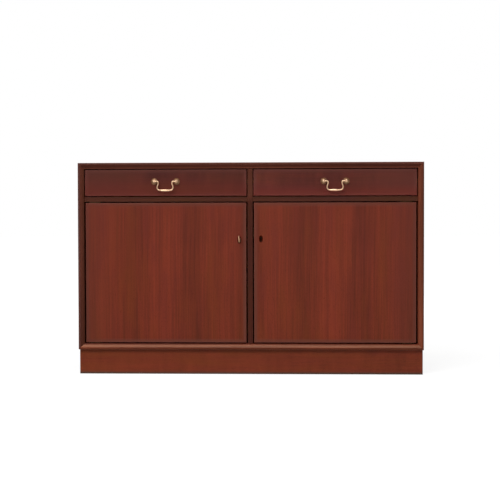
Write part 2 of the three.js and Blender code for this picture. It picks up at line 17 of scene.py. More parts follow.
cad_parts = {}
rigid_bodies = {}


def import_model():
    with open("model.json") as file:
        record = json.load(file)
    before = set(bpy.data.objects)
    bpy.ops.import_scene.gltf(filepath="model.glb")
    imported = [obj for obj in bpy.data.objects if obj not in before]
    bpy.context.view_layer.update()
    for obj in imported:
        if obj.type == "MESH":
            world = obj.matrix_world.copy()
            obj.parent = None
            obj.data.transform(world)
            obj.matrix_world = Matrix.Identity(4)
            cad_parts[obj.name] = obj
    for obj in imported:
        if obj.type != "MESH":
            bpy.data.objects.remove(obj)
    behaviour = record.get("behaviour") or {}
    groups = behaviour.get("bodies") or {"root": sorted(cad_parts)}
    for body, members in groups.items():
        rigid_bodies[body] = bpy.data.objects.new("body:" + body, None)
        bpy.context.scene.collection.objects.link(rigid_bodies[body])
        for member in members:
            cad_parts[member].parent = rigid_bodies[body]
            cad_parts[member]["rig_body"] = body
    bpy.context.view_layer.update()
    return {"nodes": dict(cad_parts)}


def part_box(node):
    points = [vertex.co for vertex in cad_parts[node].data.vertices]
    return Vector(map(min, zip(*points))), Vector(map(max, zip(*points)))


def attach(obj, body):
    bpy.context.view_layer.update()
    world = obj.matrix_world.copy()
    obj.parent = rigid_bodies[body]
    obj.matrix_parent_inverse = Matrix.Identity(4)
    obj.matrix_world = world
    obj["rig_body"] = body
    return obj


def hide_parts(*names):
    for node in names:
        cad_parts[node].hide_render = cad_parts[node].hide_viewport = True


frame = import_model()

scene = bpy.context.scene
nodes = frame["nodes"]
MM = 0.001
SIDES = ("left", "right")

# %% [markdown]
# ## The camera
#
# The cabinet was seen nearly square on, from a little to the right and with a long lens. A camera could be
# aimed with a Track To constraint, but three small turns and a place say exactly the same and leave nothing
# live in the scene. The focal length is kept in pixels of the square picture and turned into millimetres.

# %% The camera
image_size = 500
focal_pixels = 1241.3
eye = Vector((0.2092, -5.0, 0.6188))
yaw, pitch, roll = (math.radians(turn) for turn in (-2.499, -1.616, -0.121))

lens = bpy.data.cameras.new("front_lens")
lens.sensor_width = 36
lens.lens = focal_pixels / image_size * lens.sensor_width
camera = bpy.data.objects.new("front_camera", lens)
scene.collection.objects.link(camera)
aim = Matrix.Rotation(-yaw, 4, "Z") @ Matrix.Rotation(math.pi / 2 + pitch, 4, "X")
aim = aim @ Matrix.Rotation(roll, 4, "Z")
camera.matrix_world = Matrix.Translation(eye) @ aim
scene.camera = camera
print(f"lens of {lens.lens:.1f} mm, {-eye.y:.1f} m in front")

# %% [markdown]
# ## A way to write shaders as sums
#
# A wood finish is mostly arithmetic: a broad ribbon plus a finer streak minus a pore. Wiring that by hand
# hides the idea, so a small class wraps a socket and lets Python's operators add the Math nodes. Every other
# node comes from one method, which sets the node's own settings first and then its sockets.

# %% Sockets that add, subtract and multiply
class Value:
    """One output of a node, on which sums can be written."""

    def __init__(self, tree, socket):
        self.tree = tree
        self.socket = socket

    def out(self, name):
        """Another output of the same node."""
        return Value(self.tree, self.socket.node.outputs[name])

    def math(self, operation, *others):
        return self.tree.node("ShaderNodeMath", {"operation": operation}, dict(enumerate([self, *others])))

    def __add__(self, other):
        return self.math("ADD", other)

    def __sub__(self, other):
        return self.math("SUBTRACT", other)

    def __mul__(self, other):
        return self.math("MULTIPLY", other)

    def __truediv__(self, other):
        return self.math("DIVIDE", other)

    def __rsub__(self, other):
        return self.tree.node("ShaderNodeMath", {"operation": "SUBTRACT"}, {0: other, 1: self})

    __radd__ = __add__
    __rmul__ = __mul__

    def smooth(self, low, high):
        """0 at low, 1 at high and a smooth step between; low may be the larger of the two."""
        settings = {"interpolation_type": "SMOOTHSTEP"}
        return self.tree.node("ShaderNodeMapRange", settings, {0: self, 1: low, 2: high})


print("sockets take + - * / and a smooth step")

# %% Trees that make any node
class Tree:
    """A node tree with one method that makes any node."""

    def __init__(self, node_tree):
        self.node_tree = node_tree

    def node(self, kind, settings=None, values=None, output=0):
        made = self.node_tree.nodes.new(kind)
        for name, setting in (settings or {}).items():
            setattr(made, name, setting)
        for key, value in (values or {}).items():
            if isinstance(value, Value):
                self.node_tree.links.new(value.socket, made.inputs[key])
            else:
                made.inputs[key].default_value = value
        return Value(self, made.outputs[output]) if made.outputs else made

    def blend(self, mask, first, second):
        """A colour between two, by a mask."""
        return self.node("ShaderNodeMix", {"data_type": "RGBA"}, {0: mask, 6: first, 7: second}, output=2)


def rgb(red, green, blue):
    """A colour given as the 0 to 255 of a picture, in the linear numbers that shaders use."""
    shares = [channel / 255 for channel in (red, green, blue)]
    return tuple(s / 12.92 if s <= 0.04045 else ((s + 0.055) / 1.055) ** 2.4 for s in shares) + (1.0,)


WHITE = (1.0, 1.0, 1.0, 1.0)
BLACK = (0.0, 0.0, 0.0, 1.0)
print("door red as shader numbers:", [round(c, 3) for c in rgb(108, 48, 35)])

# %% [markdown]
# ## The stage
#
# The picture is a cut-out on white. Instead of flooding the object with light, the floor and the world are
# simply white where the camera looks at them, and grey where they light the cabinet. In reflections the room
# behind the cabinet is white as well, but the half in front is dimmer, as in a studio: a white wall there
# would lie like a veil on the lacquer. The floor still takes a soft shadow, because part of what the camera
# sees there is ordinary diffuse paint.

# %% The world
ambient = 0.13
front_glow = 0.38
front_half, rear_half = -0.1, 0.6


def ray_kinds(tree):
    """1 for camera rays, and 1 for rays off or through a surface; diffuse light is neither."""
    rays = tree.node("ShaderNodeLightPath", output="Is Camera Ray")
    return rays, rays.out("Is Glossy Ray").math("MAXIMUM", rays.out("Is Transmission Ray"))


world = bpy.data.worlds.new("studio")
world.use_nodes = True
world.node_tree.nodes.clear()
sky = Tree(world.node_tree)
seen, mirrored = ray_kinds(sky)
heading = sky.node("ShaderNodeTexCoord", output="Generated")
rearward = sky.node("ShaderNodeSeparateXYZ", {}, {0: heading}, output="Y")
room = front_glow + rearward.smooth(front_half, rear_half) * (1 - front_glow)
sky_level = seen + mirrored * (1 - seen) * room + ambient * (1 - seen) * (1 - mirrored)
light = sky.node("ShaderNodeBackground", {}, {"Color": WHITE, "Strength": sky_level})
sky.node("ShaderNodeOutputWorld", {}, {"Surface": light})
scene.world = world
scene.view_settings.view_transform = "Standard"
print(f"world: white to the camera, {ambient} to the cabinet")

# %% The floor
floor_reach = 30.0
floor_level = -0.2 * MM
floor_glow = 0.87
glow_starts, glow_full = 1.0, 3.5
floor_paint = (0.18, 0.18, 0.18, 1.0)
floor_bounce = (0.34, 0.33, 0.33, 1.0)

floor_mesh = bpy.data.meshes.new("floor")
corners = [(x * floor_reach, y * floor_reach, floor_level) for x, y in ((-1, -1), (1, -1), (1, 1), (-1, 1))]
floor_mesh.from_pydata(corners, [], [(0, 1, 2, 3)])
floor = bpy.data.objects.new("floor", floor_mesh)
scene.collection.objects.link(floor)
floor_material = bpy.data.materials.new("pale_floor")
floor_material.use_nodes = True
floor_material.node_tree.nodes.clear()
ground = Tree(floor_material.node_tree)
spot = ground.node("ShaderNodeTexCoord", output="Object")
away = ground.node("ShaderNodeVectorMath", {"operation": "LENGTH"}, {0: spot}, output="Value")
brightness = floor_glow + away.smooth(glow_starts, glow_full) * (1 - floor_glow)
glow = ground.node("ShaderNodeEmission", {}, {"Color": WHITE, "Strength": brightness})
paint = ground.node("ShaderNodeBsdfDiffuse", {}, {"Color": floor_paint})
shown = ground.node("ShaderNodeAddShader", {}, {0: glow, 1: paint})
bounce = ground.node("ShaderNodeBsdfDiffuse", {}, {"Color": floor_bounce})
seen, mirrored = ray_kinds(ground)
looked_at = seen.math("MAXIMUM", mirrored)
mixed = ground.node("ShaderNodeMixShader", {}, {0: looked_at, 1: bounce, 2: shown})
ground.node("ShaderNodeOutputMaterial", {}, {"Surface": mixed})
floor_mesh.materials.append(floor_material)
print(f"floor: {2 * floor_reach:.0f} m square, fading to white from {glow_starts} m out")

# %% [markdown]
# ## Lamps
#
# The bevel along the bottom of the case is the brightest wood and the one along the top the darkest, and
# the right bevel is brighter than the left. So the main panel stands high in front and to the left, and a
# long strip overhead glints on the bottom bevel. Three more panels, at the left, in front and behind, only
# fill the shade: reflections don't see them, so that they don't lie on the lacquer. Point lamps would draw
# hard shadows under the edges. Area lamps are the plain way to get broad light.

# %% Lamps
lit_point = Vector((0.0, -0.2, 0.42))


def softbox(name, place, size, power, mirrored=True):
    """A rectangular panel that faces the cabinet, its size in metres and its power in watts."""
    lamp = bpy.data.lights.new(name, "AREA")
    lamp.shape = "RECTANGLE"
    lamp.size, lamp.size_y = size
    lamp.energy = power
    panel = bpy.data.objects.new(name, lamp)
    panel.location = place
    panel.rotation_euler = (lit_point - Vector(place)).to_track_quat("-Z", "Y").to_euler()
    panel.visible_camera = False
    panel.visible_glossy = mirrored
    scene.collection.objects.link(panel)


softbox("main_panel", (-1.6, -4.4, 4.1), (2.8, 2.0), 240)
softbox("overhead_strip", (-0.3, -1.3, 4.2), (3.4, 0.5), 56)
softbox("left_panel", (-7.0, -3.2, 1.8), (2.6, 2.6), 130, mirrored=False)
softbox("front_panel", (0.8, -6.0, 0.5), (2.4, 0.9), 70, mirrored=False)
softbox("rear_panel", (1.8, 3.4, 2.2), (2.0, 1.6), 75, mirrored=False)
print(len(bpy.data.lights), "soft panels")

# %% [markdown]
# ## What every finish needs
#
# All the finishes here are noise and sums on Object coordinates. An image would be the quick way to a wood,
# but noise stretched along the grain gives every board its own figure and stays sharp close up. So one class
# holds a material, reads noise at its own scale along each axis and ends in a shader with a fine bump.

# %% A finish
bump_strength = 0.6
noise_roughness = 0.55


class Finish(Tree):
    """A material: its tree, and the surface that its sums end in."""

    def __init__(self, name):
        self.material = bpy.data.materials.new(name)
        self.material.use_nodes = True
        super().__init__(self.material.node_tree)
        self.node_tree.nodes.clear()
        self.place = self.node("ShaderNodeTexCoord", output="Object")

    def vector(self, operation, first, second):
        return self.node("ShaderNodeVectorMath", {"operation": operation}, {0: first, 1: second})

    def shifted(self, vector):
        """Reads the pattern from a moved origin."""
        self.place = self.node("ShaderNodeMapping", {}, {"Vector": self.place, "Location": vector})

    def drifting(self, per_metre, reach, seed):
        """Lets the grain wander sideways, by up to about half of reach in metres."""
        spot = self.vector("MULTIPLY", self.place, per_metre)
        values = {"Vector": spot, "W": seed, "Scale": 1.0, "Detail": 1.0}
        cloud = self.node("ShaderNodeTexNoise", {"noise_dimensions": "4D"}, values, output="Color")
        about_zero = self.vector("SUBTRACT", cloud, (0.5, 0.5, 0.5))
        self.place = self.vector("ADD", self.place, self.vector("MULTIPLY", about_zero, reach))

    def axis(self, letter):
        return self.node("ShaderNodeSeparateXYZ", {}, {0: self.place}, output=letter)

    def noise(self, per_metre, detail, seed):
        """Noise with its own number of features per metre along each axis."""
        spot = self.vector("MULTIPLY", self.place, per_metre)
        values = {"Vector": spot, "W": seed, "Scale": 1.0, "Detail": detail, "Roughness": noise_roughness}
        return self.node("ShaderNodeTexNoise", {"noise_dimensions": "4D"}, values)

    def surface(self, relief, depth, **sockets):
        """The shader, with a bump of the given depth in metres."""
        values = {name.replace("_", " "): value for name, value in sockets.items()}
        bump = {"Strength": bump_strength, "Distance": depth, "Height": relief}
        values["Normal"] = self.node("ShaderNodeBump", {}, bump)
        shader = self.node("ShaderNodeBsdfPrincipled", {}, values)
        self.node("ShaderNodeOutputMaterial", {}, {"Surface": shader})
        return self.material


def along_grain(grain, across, along):
    """Features per metre: many across the grain and few along it."""
    per_metre = [across] * 3
    per_metre["XYZ".index(grain)] = along
    return per_metre


def tinted(tone, red, green, blue=None):
    """The same wood, with more or less of each colour in it."""
    return tone[0] * red, tone[1] * green, tone[2] * (green if blue is None else blue), 1.0


print("features per metre of a streak along X:", along_grain("X", 60.0, 1.4))

# %% [markdown]
# ## Mahogany
#
# Mahogany veneer is calm wood: broad soft ribbons where the grain is interlocked, narrow streaks, fine
# fibres and short dark pores, all running along the board, under a satin lacquer. Wave textures give
# stripes that are too even, so six layers of noise are added up, from a slow wander to single fibres. The
# two doors were cut from neighbouring leaves of one veneer, so their ribbons sit at the same places.

# %% The grain of mahogany
# Each row: features per metre across and along the grain, detail, and a number added to the seed.
grain_layers = {
    "wander": (2.6, 1.3, 1.0, 3.1),
    "ribbon": (13.0, 0.7, 2.0, 0.7),
    "streak": (60.0, 1.4, 3.0, 1.9),
    "line": (210.0, 3.5, 2.0, 2.7),
    "fibre": (560.0, 12.0, 2.0, 5.3),
    "cross": (8.0, 26.0, 3.0, 6.6),
}
ribbon_pitch = 0.225
ribbon_middle = 0.305


class MahoganyGrain(Finish):
    """Mahogany, the axis of its grain given by letter, and its tone in shader numbers."""

    def __init__(self, name, grain, tone, seed, figure=1.0, mottle=0.15, leaf=None):
        super().__init__(name)
        self.tone = tone
        self.x, self.depth, self.height = (self.axis(letter) for letter in "XYZ")
        if leaf is not None:
            self.shifted((-leaf, 0.0, 0.0))
        self.across = self.axis("X")
        self.drifting(along_grain(grain, 1.4, 2.2), along_grain(grain, 0.013, 0.0), seed + 15.0)
        layers = {}
        for layer, (across, along, detail, offset) in grain_layers.items():
            layers[layer] = self.noise(along_grain(grain, across, along), detail, seed + offset) - 0.5
        self.streak, self.fibre = layers["streak"], layers["fibre"]
        ribbon = layers["ribbon"] * figure if leaf is None else self.door_ribbon(layers["ribbon"], seed)
        stripes = (self.streak * 0.9 + layers["line"] * 0.7) * figure
        fine = self.fibre * 0.6
        slow = layers["wander"] * 0.3
        self.shade = 0.5 + ribbon * 1.4 + stripes + fine + slow + layers["cross"] * mottle
        self.pore = self.noise(along_grain(grain, 1500.0, 110.0), 1.0, seed + 8.9).smooth(0.58, 0.70)
        self.rough = 0.36 + self.fibre * 0.12 + self.pore * 0.12
        self.colour = self.blend(self.shade, tinted(tone, 0.60, 0.66), tinted(tone, 1.40, 1.34))
        warmth = self.noise(along_grain(grain, 18.0, 3.5), 2.0, seed + 12.4)
        self.tint(warmth.smooth(0.45, 0.70) * 0.5, tinted(tone, 1.06, 1.35, 0.80))
        self.tint(warmth.smooth(0.50, 0.28) * 0.5, tinted(tone, 0.90, 0.88, 1.30))
        self.tint(self.pore * 0.50, tinted(tone, 0.25, 0.25))

    def door_ribbon(self, ribbon, seed):
        """Ribbons at an even pitch, clearest in the middle of the leaf, with soft blotches and a painted
        sheen that lightens the middle.
        """
        turn = (self.axis("X") - ribbon_middle) * (2 * math.pi / ribbon_pitch)
        middle_with_sheen = 1 - (self.across - ribbon_middle).math("ABSOLUTE").smooth(0.05, 0.30)
        blotch = self.noise(along_grain("Z", 2.0, 9.0), 2.0, seed + 17.7) - 0.5
        # The middle of the leaf is painted lighter: a painted sheen down the door.
        even = turn.math("COSINE") * (0.07 + middle_with_sheen * 0.06) + middle_with_sheen * 0.05 - 0.02
        return ribbon * 0.45 + even + blotch * 0.2

    def tint(self, mask, colour):
        """Lays a colour over the board, by a mask."""
        self.colour = self.blend(mask, self.colour, colour)

    def lacquered(self, level=0.12):
        """The finished material, its lacquer mirroring by the given level."""
        sockets = {"Base_Color": self.colour, "Roughness": self.rough, "Specular_IOR_Level": level}
        return self.surface(self.fibre * 0.4 - self.pore, 0.12 * MM, **sockets)


print("mahogany from", len(grain_layers), "layers of grain")

# %% [markdown]
# ## Edges, tones and painted light
#
# What is laid over the grain of a board comes next: painted light and shade on the bevels of the case,
# greyer ends and darker edges on the fronts, painted shade on the edges of the doors in their gaps, and a
# greyer foot on the plinth. Each could be a material of its own, but one method for each lays it over the
# grain as a mask, so that a board only names what is laid on it.

# %% The edges, tones and painted light of a board
lip_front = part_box("top_panel")[0].y


class Mahogany(MahoganyGrain):
    """A board of mahogany with its edge tones and painted light and shade laid over the grain."""

    def bevelled(self, lip, outer, inner):
        """Painted light and shade on the front lip and on the bevel behind it, from its outer to its inner
        edge.
        """
        back = self.depth - lip_front
        slope = back.smooth(0.3 * MM, 1.6 * MM)
        corner = back.smooth(6.0 * MM, 11.0 * MM)
        rim = 1 - back.smooth(12.2 * MM, 13.2 * MM)
        pale = self.blend(slope, lip, self.blend(corner, outer, inner))
        self.tint(rim, self.blend(0.3 + self.shade * 0.7, BLACK, pale))
        self.rough = self.rough + rim * (1 - slope + corner) * 0.25

    def greyer_across(self, clear, dim):
        """A greyer tone, growing from one place to another across the front."""
        self.tint(self.across.smooth(clear, dim) * 0.8, tinted(self.tone, 1.05, 1.22, 1.30))

    def darker_edges(self, low, high, edge_tone):
        """A darker tone along the four edges of a front."""
        sides = (self.x - low.x).math("MINIMUM", high.x - self.x)
        ends = (self.height - low.z).math("MINIMUM", high.z - self.height)
        edge = sides.math("MINIMUM", ends)
        self.tint((1 - edge.smooth(4.0 * MM, 18.0 * MM)) * 0.7, edge_tone)

    def toned_by_height(self, start, end, tone):
        """Another tone, growing from one height to another."""
        self.tint(self.height.smooth(start, end) * 0.55, tone)

    def door_edges(self, low, high, hinged_left):
        """Painted shade on the edges of a door inside the gaps, a darker, greyer hinge side and a cooler
        upper part.
        """
        behind = self.depth - low.y
        # Painted shade: the door's edge faces, inside the gaps, are darkened.
        gap_shade = behind.smooth(0.8 * MM, 2.5 * MM) - behind.smooth(18.5 * MM, 19.7 * MM)
        self.tint(gap_shade * 0.7, tinted(self.tone, 0.30, 0.40))
        from_hinge = self.across if hinged_left else (high.x - low.x) - self.across
        self.tint(from_hinge.smooth(0.15, 0.0) * 0.45, tinted(self.tone, 0.72, 0.98, 1.40))
        upward = (self.height - low.z).smooth(0.15, 0.54)
        self.tint(upward * 0.18, tinted(self.tone, 0.95, 1.05, 1.75))

    def greyer_foot(self, foot_grey):
        """A greyer tone along the lowest centimetre."""
        foot = 1 - self.height.smooth(2.0 * MM, 13.0 * MM)
        self.tint(foot * (0.8 + self.streak), foot_grey)


finishes = {}
print(f"the lip of the case is at {lip_front:.4f} m")

# %% [markdown]
# ## The cuts of the case and the plinth
#
# The panels of the case are a lighter cut than the dividers. The partition is darker still, painted shade
# where it stands between the doors, and lighter above them. Their front edges are solid wood with a bevel,
# and each edge has its own tones, painted light and shade for the way the light falls on it: the bottom bevel
# is painted lit from above and darker in its corner by the doors, and the right bevel lighter than the left.
# One finish for the whole case would be simpler, but its corners would look printed on.

# %% Case and plinth
dark_tone = (0.063, 0.0178, 0.0100, 1.0)
panel_tone = (0.112, 0.0235, 0.0115, 1.0)
partition_painted_shade_tone = (0.056, 0.0128, 0.0070, 1.0)
partition_unshaded_top = (0.105, 0.030, 0.017, 1.0)
plinth_tone = (0.143, 0.0255, 0.0106, 1.0)
low_gloss = 0.08
# Each row: the grain, the lacquer's level, and the tones of the lip, the outer bevel and the inner bevel,
# which are painted light and shade.
painted_light_edgings = {
    "top": ("X", 0.08, (0.105, 0.031, 0.020), (0.105, 0.024, 0.012), (0.225, 0.064, 0.038)),
    "left": ("Z", 0.08, (0.110, 0.037, 0.028), (0.138, 0.038, 0.022), (0.120, 0.034, 0.017)),
    "right": ("Z", 0.08, (0.180, 0.044, 0.021), (0.228, 0.060, 0.030), (0.150, 0.034, 0.015)),
    "bottom": ("X", 0.12, (0.185, 0.040, 0.017), (0.320, 0.112, 0.056), (0.120, 0.015, 0.004)),
}
for number, grain in enumerate("XY"):
    board = Mahogany(f"case_mahogany_{grain}", grain, dark_tone, 20.0 + number)
    finishes[f"case_{grain}"] = board.lacquered(low_gloss)
    board = Mahogany(f"plinth_mahogany_{grain}", grain, plinth_tone, 31.0, figure=0.4, mottle=1.0)
    board.greyer_foot(rgb(58, 54, 46))
    finishes[f"plinth_{grain}"] = board.lacquered()
for number, (end, (grain, level, *tones)) in enumerate(painted_light_edgings.items()):
    board = Mahogany(f"case_{end}_mahogany", grain, panel_tone, 24.0 + 0.4 * number)
    board.bevelled(*[(*tone, 1.0) for tone in tones])
    finishes[f"case_{end}"] = board.lacquered(level)
# The partition is painted darker, as shade between the doors, and lighter above the drawer rail, out of that
# shade.
board = Mahogany("partition_mahogany", "Z", partition_painted_shade_tone, 27.0)
board.toned_by_height(0.66, 0.70, partition_unshaded_top)
finishes["partition"] = board.lacquered(low_gloss)
print("case and plinth:", ", ".join(finishes))

# %% [markdown]
# ## The cuts of the doors and the drawers
#
# The doors are upright veneer with clear ribbons and a painted sheen down their middle, and the drawer
# fronts lie across, darker and calmer, greyer towards their outer ends and redder low down. Both are darker
# along their edges. The small keyhole plates are the same wood in a near-black tone, so that hardly any red
# is left.

# %% Doors, drawers and keyhole plates
door_tones = (0.129, 0.0213, 0.0092, 1.0), (0.134, 0.0224, 0.0096, 1.0)
drawer_tones = (0.064, 0.0146, 0.0093, 1.0), (0.083, 0.0172, 0.0115, 1.0)
# Each row: how high the redder band of a drawer starts, and its red and green.
drawer_redder_bands = (100 * MM, 1.70, 1.05), (55 * MM, 1.60, 1.10)
redder_full_height = 4 * MM
grey_reach = 0.30
keyhole_dark_tone = (0.042, 0.0045, 0.0010, 1.0)
for number, side in enumerate(SIDES):
    low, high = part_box(f"{side}_door")
    tone = door_tones[number]
    door = Mahogany(f"{side}_door_mahogany", "Z", tone, 40.0 + 0.30 * number, figure=1.6, leaf=low.x)
    door.darker_edges(low, high, rgb(92, 52, 42))
    door.door_edges(low, high, hinged_left=side == "left")
    finishes[f"{side}_door"] = door.lacquered()

    low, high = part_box(f"{side}_drawer_front")
    tone = drawer_tones[number]
    outer, inner = (low.x, low.x + grey_reach) if side == "left" else (high.x, high.x - grey_reach)
    redder_start_height, redder_red, redder_green = drawer_redder_bands[number]
    drawer = Mahogany(f"{side}_drawer_mahogany", "X", tone, 52.0 + 4.0 * number, figure=0.5, mottle=1.6)
    drawer.greyer_across(inner, outer)
    drawer.darker_edges(low, high, rgb(86, 46, 40))
    redder_tone = tinted(tone, redder_red, redder_green)
    drawer.toned_by_height(low.z + redder_start_height, low.z + redder_full_height, redder_tone)
    finishes[f"{side}_drawer"] = drawer.lacquered()
finishes["keyhole"] = Mahogany("ebonised_wood", "Z", keyhole_dark_tone, 47.0).lacquered(0.01)
print("mahogany in", len(finishes), "cuts")

# %% [markdown]
# ## The plain woods inside
#
# Drawer sides, runners and the back rail of the plinth are a plain pale hardwood with an oiled surface, and
# the drawer bottoms and the back are thin plywood. The hardwood is the same idea as the mahogany with less
# figure. Rotary-cut plywood shows wide wandering bands, so its noise is stretched less and then folded by a
# sine, which is easier to steer than a Wave texture with distortion.

# %% Pale hardwood and plywood
ply_pitch = 2.2 * MM


def boxwork(name, grain, seed):
    """Pale oiled hardwood with small dark flecks."""
    finish = Finish(name)
    broad = finish.noise(along_grain(grain, 16.0, 0.9), 2.0, seed) - 0.5
    fibre = finish.noise(along_grain(grain, 380.0, 8.0), 2.0, seed + 2.0) - 0.5
    fleck = finish.noise(along_grain(grain, 900.0, 90.0), 1.0, seed + 4.0).smooth(0.60, 0.75)
    colour = finish.blend(0.5 + broad * 1.2 + fibre * 0.7, rgb(136, 92, 58), rgb(178, 132, 90))
    colour = finish.blend(fleck * 0.35, colour, rgb(98, 62, 38))
    sockets = {"Base_Color": colour, "Roughness": 0.55 + fibre * 0.2, "Specular_IOR_Level": 0.3}
    return finish.surface(fibre - fleck, 0.1 * MM, **sockets)


def plywood(name, grain, thickness, seed):
    """Rotary-cut veneer, with its layers showing along the axis of its thickness."""
    finish = Finish(name)
    swirl = finish.noise(along_grain(grain, 4.5, 0.6), 1.5, seed)
    bands = ((swirl * 60.0).math("SINE") * 0.5 + 0.5).smooth(0.0, 1.0)
    rings = (swirl * 240.0).math("SINE") * 0.5 + 0.5
    fibre = finish.noise(along_grain(grain, 420.0, 10.0), 2.0, seed + 2.0) - 0.5
    layers = (finish.axis(thickness) * (2 * math.pi / ply_pitch)).math("SINE").smooth(-0.2, 0.4)
    mix = 0.30 + bands * 0.26 + rings * 0.12 + fibre * 0.7
    colour = finish.blend(mix, rgb(150, 108, 70), rgb(190, 148, 104))
    colour = finish.blend(layers * 0.18, colour, rgb(112, 74, 46))
    sockets = {"Base_Color": colour, "Roughness": 0.62 + fibre * 0.2, "Specular_IOR_Level": 0.25}
    return finish.surface(fibre + bands * 0.3, 0.08 * MM, **sockets)


finishes["box_X"] = boxwork("box_hardwood_X", "X", 61.0)
finishes["box_Y"] = boxwork("box_hardwood_Y", "Y", 63.0)
finishes["back_ply"] = plywood("back_plywood", "Z", "Y", 71.0)
finishes["bottom_ply"] = plywood("drawer_plywood", "X", "Z", 73.0)
print("two pale hardwoods and two plywoods")

# %% [markdown]
# ## Brass and steel
#
# The handles are polished brass that has dulled a little: bright where fingers rub, browner in the hollows
# near the drawer. The key is brighter, as it is handled more. The hinges, strikes and bolts are brass and the
# lock cases steel, both painted dark as shade, for where they sit in the gaps of the doors. All four are one
# recipe, with a slow stain, a fine scratch and, for the handles, a mask by depth. Ambient occlusion would
# find the hollows too, but it takes far longer to bake.

# %% The metal finishes
drawer_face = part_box("left_drawer_front")[0].y
handle_hollow = drawer_face - 1.0 * MM, drawer_face - 9.0 * MM


def metal(name, bright, stained, seed, rough, stain, hollow=None):
    """A metal between its bright and its stained colour, browner between two depths where given."""
    finish = Finish(name)
    cloud = finish.noise((160.0, 160.0, 160.0), 3.0, seed).smooth(0.42, 0.72)
    scratch = finish.noise((2600.0, 500.0, 700.0), 2.0, seed + 2.0) - 0.5
    dull = cloud * stain
    if hollow is not None:
        near, far = hollow
        dull = dull + finish.axis("Y").smooth(far, near) * 0.9
    dull = dull.math("MINIMUM", 1.0)
    colour = finish.blend(dull, bright, stained)
    gloss = rough + dull * 0.18 + scratch * 0.08
    return finish.surface(
        scratch + cloud * 0.4, 0.02 * MM, Base_Color=colour, Metallic=1.0, Roughness=gloss
    )


brass, brown = rgb(232, 194, 158), rgb(118, 84, 58)
finishes["handle"] = metal("handle_brass", brass, brown, 81.0, 0.42, 0.25, handle_hollow)
finishes["key"] = metal("key_brass", rgb(252, 208, 164), rgb(212, 158, 110), 83.0, 0.28, 0.25)
# Hinges, strikes, bolts, their screws and the nuts: brass painted dark, as shade for where it sits in the
# door gaps.
finishes["shade_darkened"] = metal("bronzed_brass", rgb(66, 48, 32), rgb(38, 28, 20), 85.0, 0.45, 0.7)
# Lock cases and board screws: steel painted dark, as shade for the lock edges seen in the door gaps.
finishes["steel"] = metal("lock_steel", rgb(54, 44, 36), rgb(34, 27, 22), 87.0, 0.45, 0.6)
print("handle brass, key brass, bronzed brass and browned steel")

# %% [markdown]
# ## Boards with softened edges
#
# No real board has a razor edge: the maker takes the arris off with a few strokes, and that thin round is
# what catches the light along the doors. A Bevel modifier does it, on a merged copy of each CAD board. Edge
# weights choose what is rounded: most on the front of doors and drawers, less elsewhere, and nothing where a
# mitre has to close. The CAD boards leave a thin glue line in each mitre, so a copy first grows by its share
# of it, or light would come through the corners of the case.

# %% A clean copy of a board
mitre_share = 0.2 * MM
weld_distance = 4e-6
flat_angle = math.radians(0.4)
sharp_angle = math.radians(35)


def merged_copy(node):
    """The CAD mesh as clean flat faces instead of loose triangles."""
    shape = bmesh.new()
    shape.from_mesh(nodes[node].data)
    bmesh.ops.remove_doubles(shape, verts=shape.verts, dist=weld_distance)
    bmesh.ops.dissolve_limit(shape, angle_limit=flat_angle, verts=shape.verts, edges=shape.edges)
    return shape


def is_mitre(side):
    """Whether a face leans at 45 degrees between X and Z."""
    return abs(side.normal.x) > 0.6 and abs(side.normal.z) > 0.6


def close_mitres(shape):
    """Lengthens a mitred board by its share of the glue line."""
    ends = {vertex for side in shape.faces if is_mitre(side) for vertex in side.verts}
    spans = {}
    for axis in (0, 2):
        places = [vertex.co[axis] for vertex in shape.verts]
        spans[axis] = min(places), max(places)
    length = max(spans, key=lambda axis: spans[axis][1] - spans[axis][0])
    centre = sum(spans[length]) / 2
    for vertex in ends:
        vertex.co[length] += math.copysign(mitre_share, vertex.co[length] - centre)


def weigh_edges(shape, front, rest, shortest):
    """Gives each edge that is to be rounded its share of the widest round."""
    weights = shape.edges.layers.float.new("bevel_weight_edge")
    foremost = min(vertex.co.y for vertex in shape.verts)
    widest = max(front, rest)
    for edge in shape.edges:
        sharp = len(edge.link_faces) == 2 and edge.calc_face_angle_signed(0.0) > sharp_angle
        if not sharp or edge.calc_length() < shortest or any(is_mitre(side) for side in edge.link_faces):
            continue
        in_front = all(abs(vertex.co.y - foremost) < 0.01 * MM for vertex in edge.verts)
        edge[weights] = (front if in_front else rest) / widest
    return widest


print(f"mitred boards grow by {mitre_share / MM} mm at each end")

# %% Round its edges and mount it
board_crease = 28
usual_round = 0.6
shortest_edge = 18.0


def object_from(shape, name):
    """A new object that holds a shape."""
    mesh = bpy.data.meshes.new(name)
    shape.to_mesh(mesh)
    shape.free()
    if "custom_normal" in mesh.attributes:
        mesh.attributes.remove(mesh.attributes["custom_normal"])
    made = bpy.data.objects.new(name, mesh)
    scene.collection.objects.link(made)
    return made


def smooth(made, crease):
    """Smooth shading, apart from edges sharper than crease in degrees."""
    made.data.shade_smooth()
    made.data.set_sharp_from_angle(angle=math.radians(crease))


def settle(made):
    """Applies what is live on a piece, so that it is a plain mesh."""
    graph = bpy.context.evaluated_depsgraph_get()
    live = made.data
    made.data = bpy.data.meshes.new_from_object(made.evaluated_get(graph))
    made.modifiers.clear()
    bpy.data.meshes.remove(live)


def mount(made, node, finish):
    """Gives a piece its finish and puts it in the place of a CAD node."""
    made.data.materials.clear()
    made.data.materials.append(finishes[finish])
    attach(made, nodes[node]["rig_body"])
    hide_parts(node)


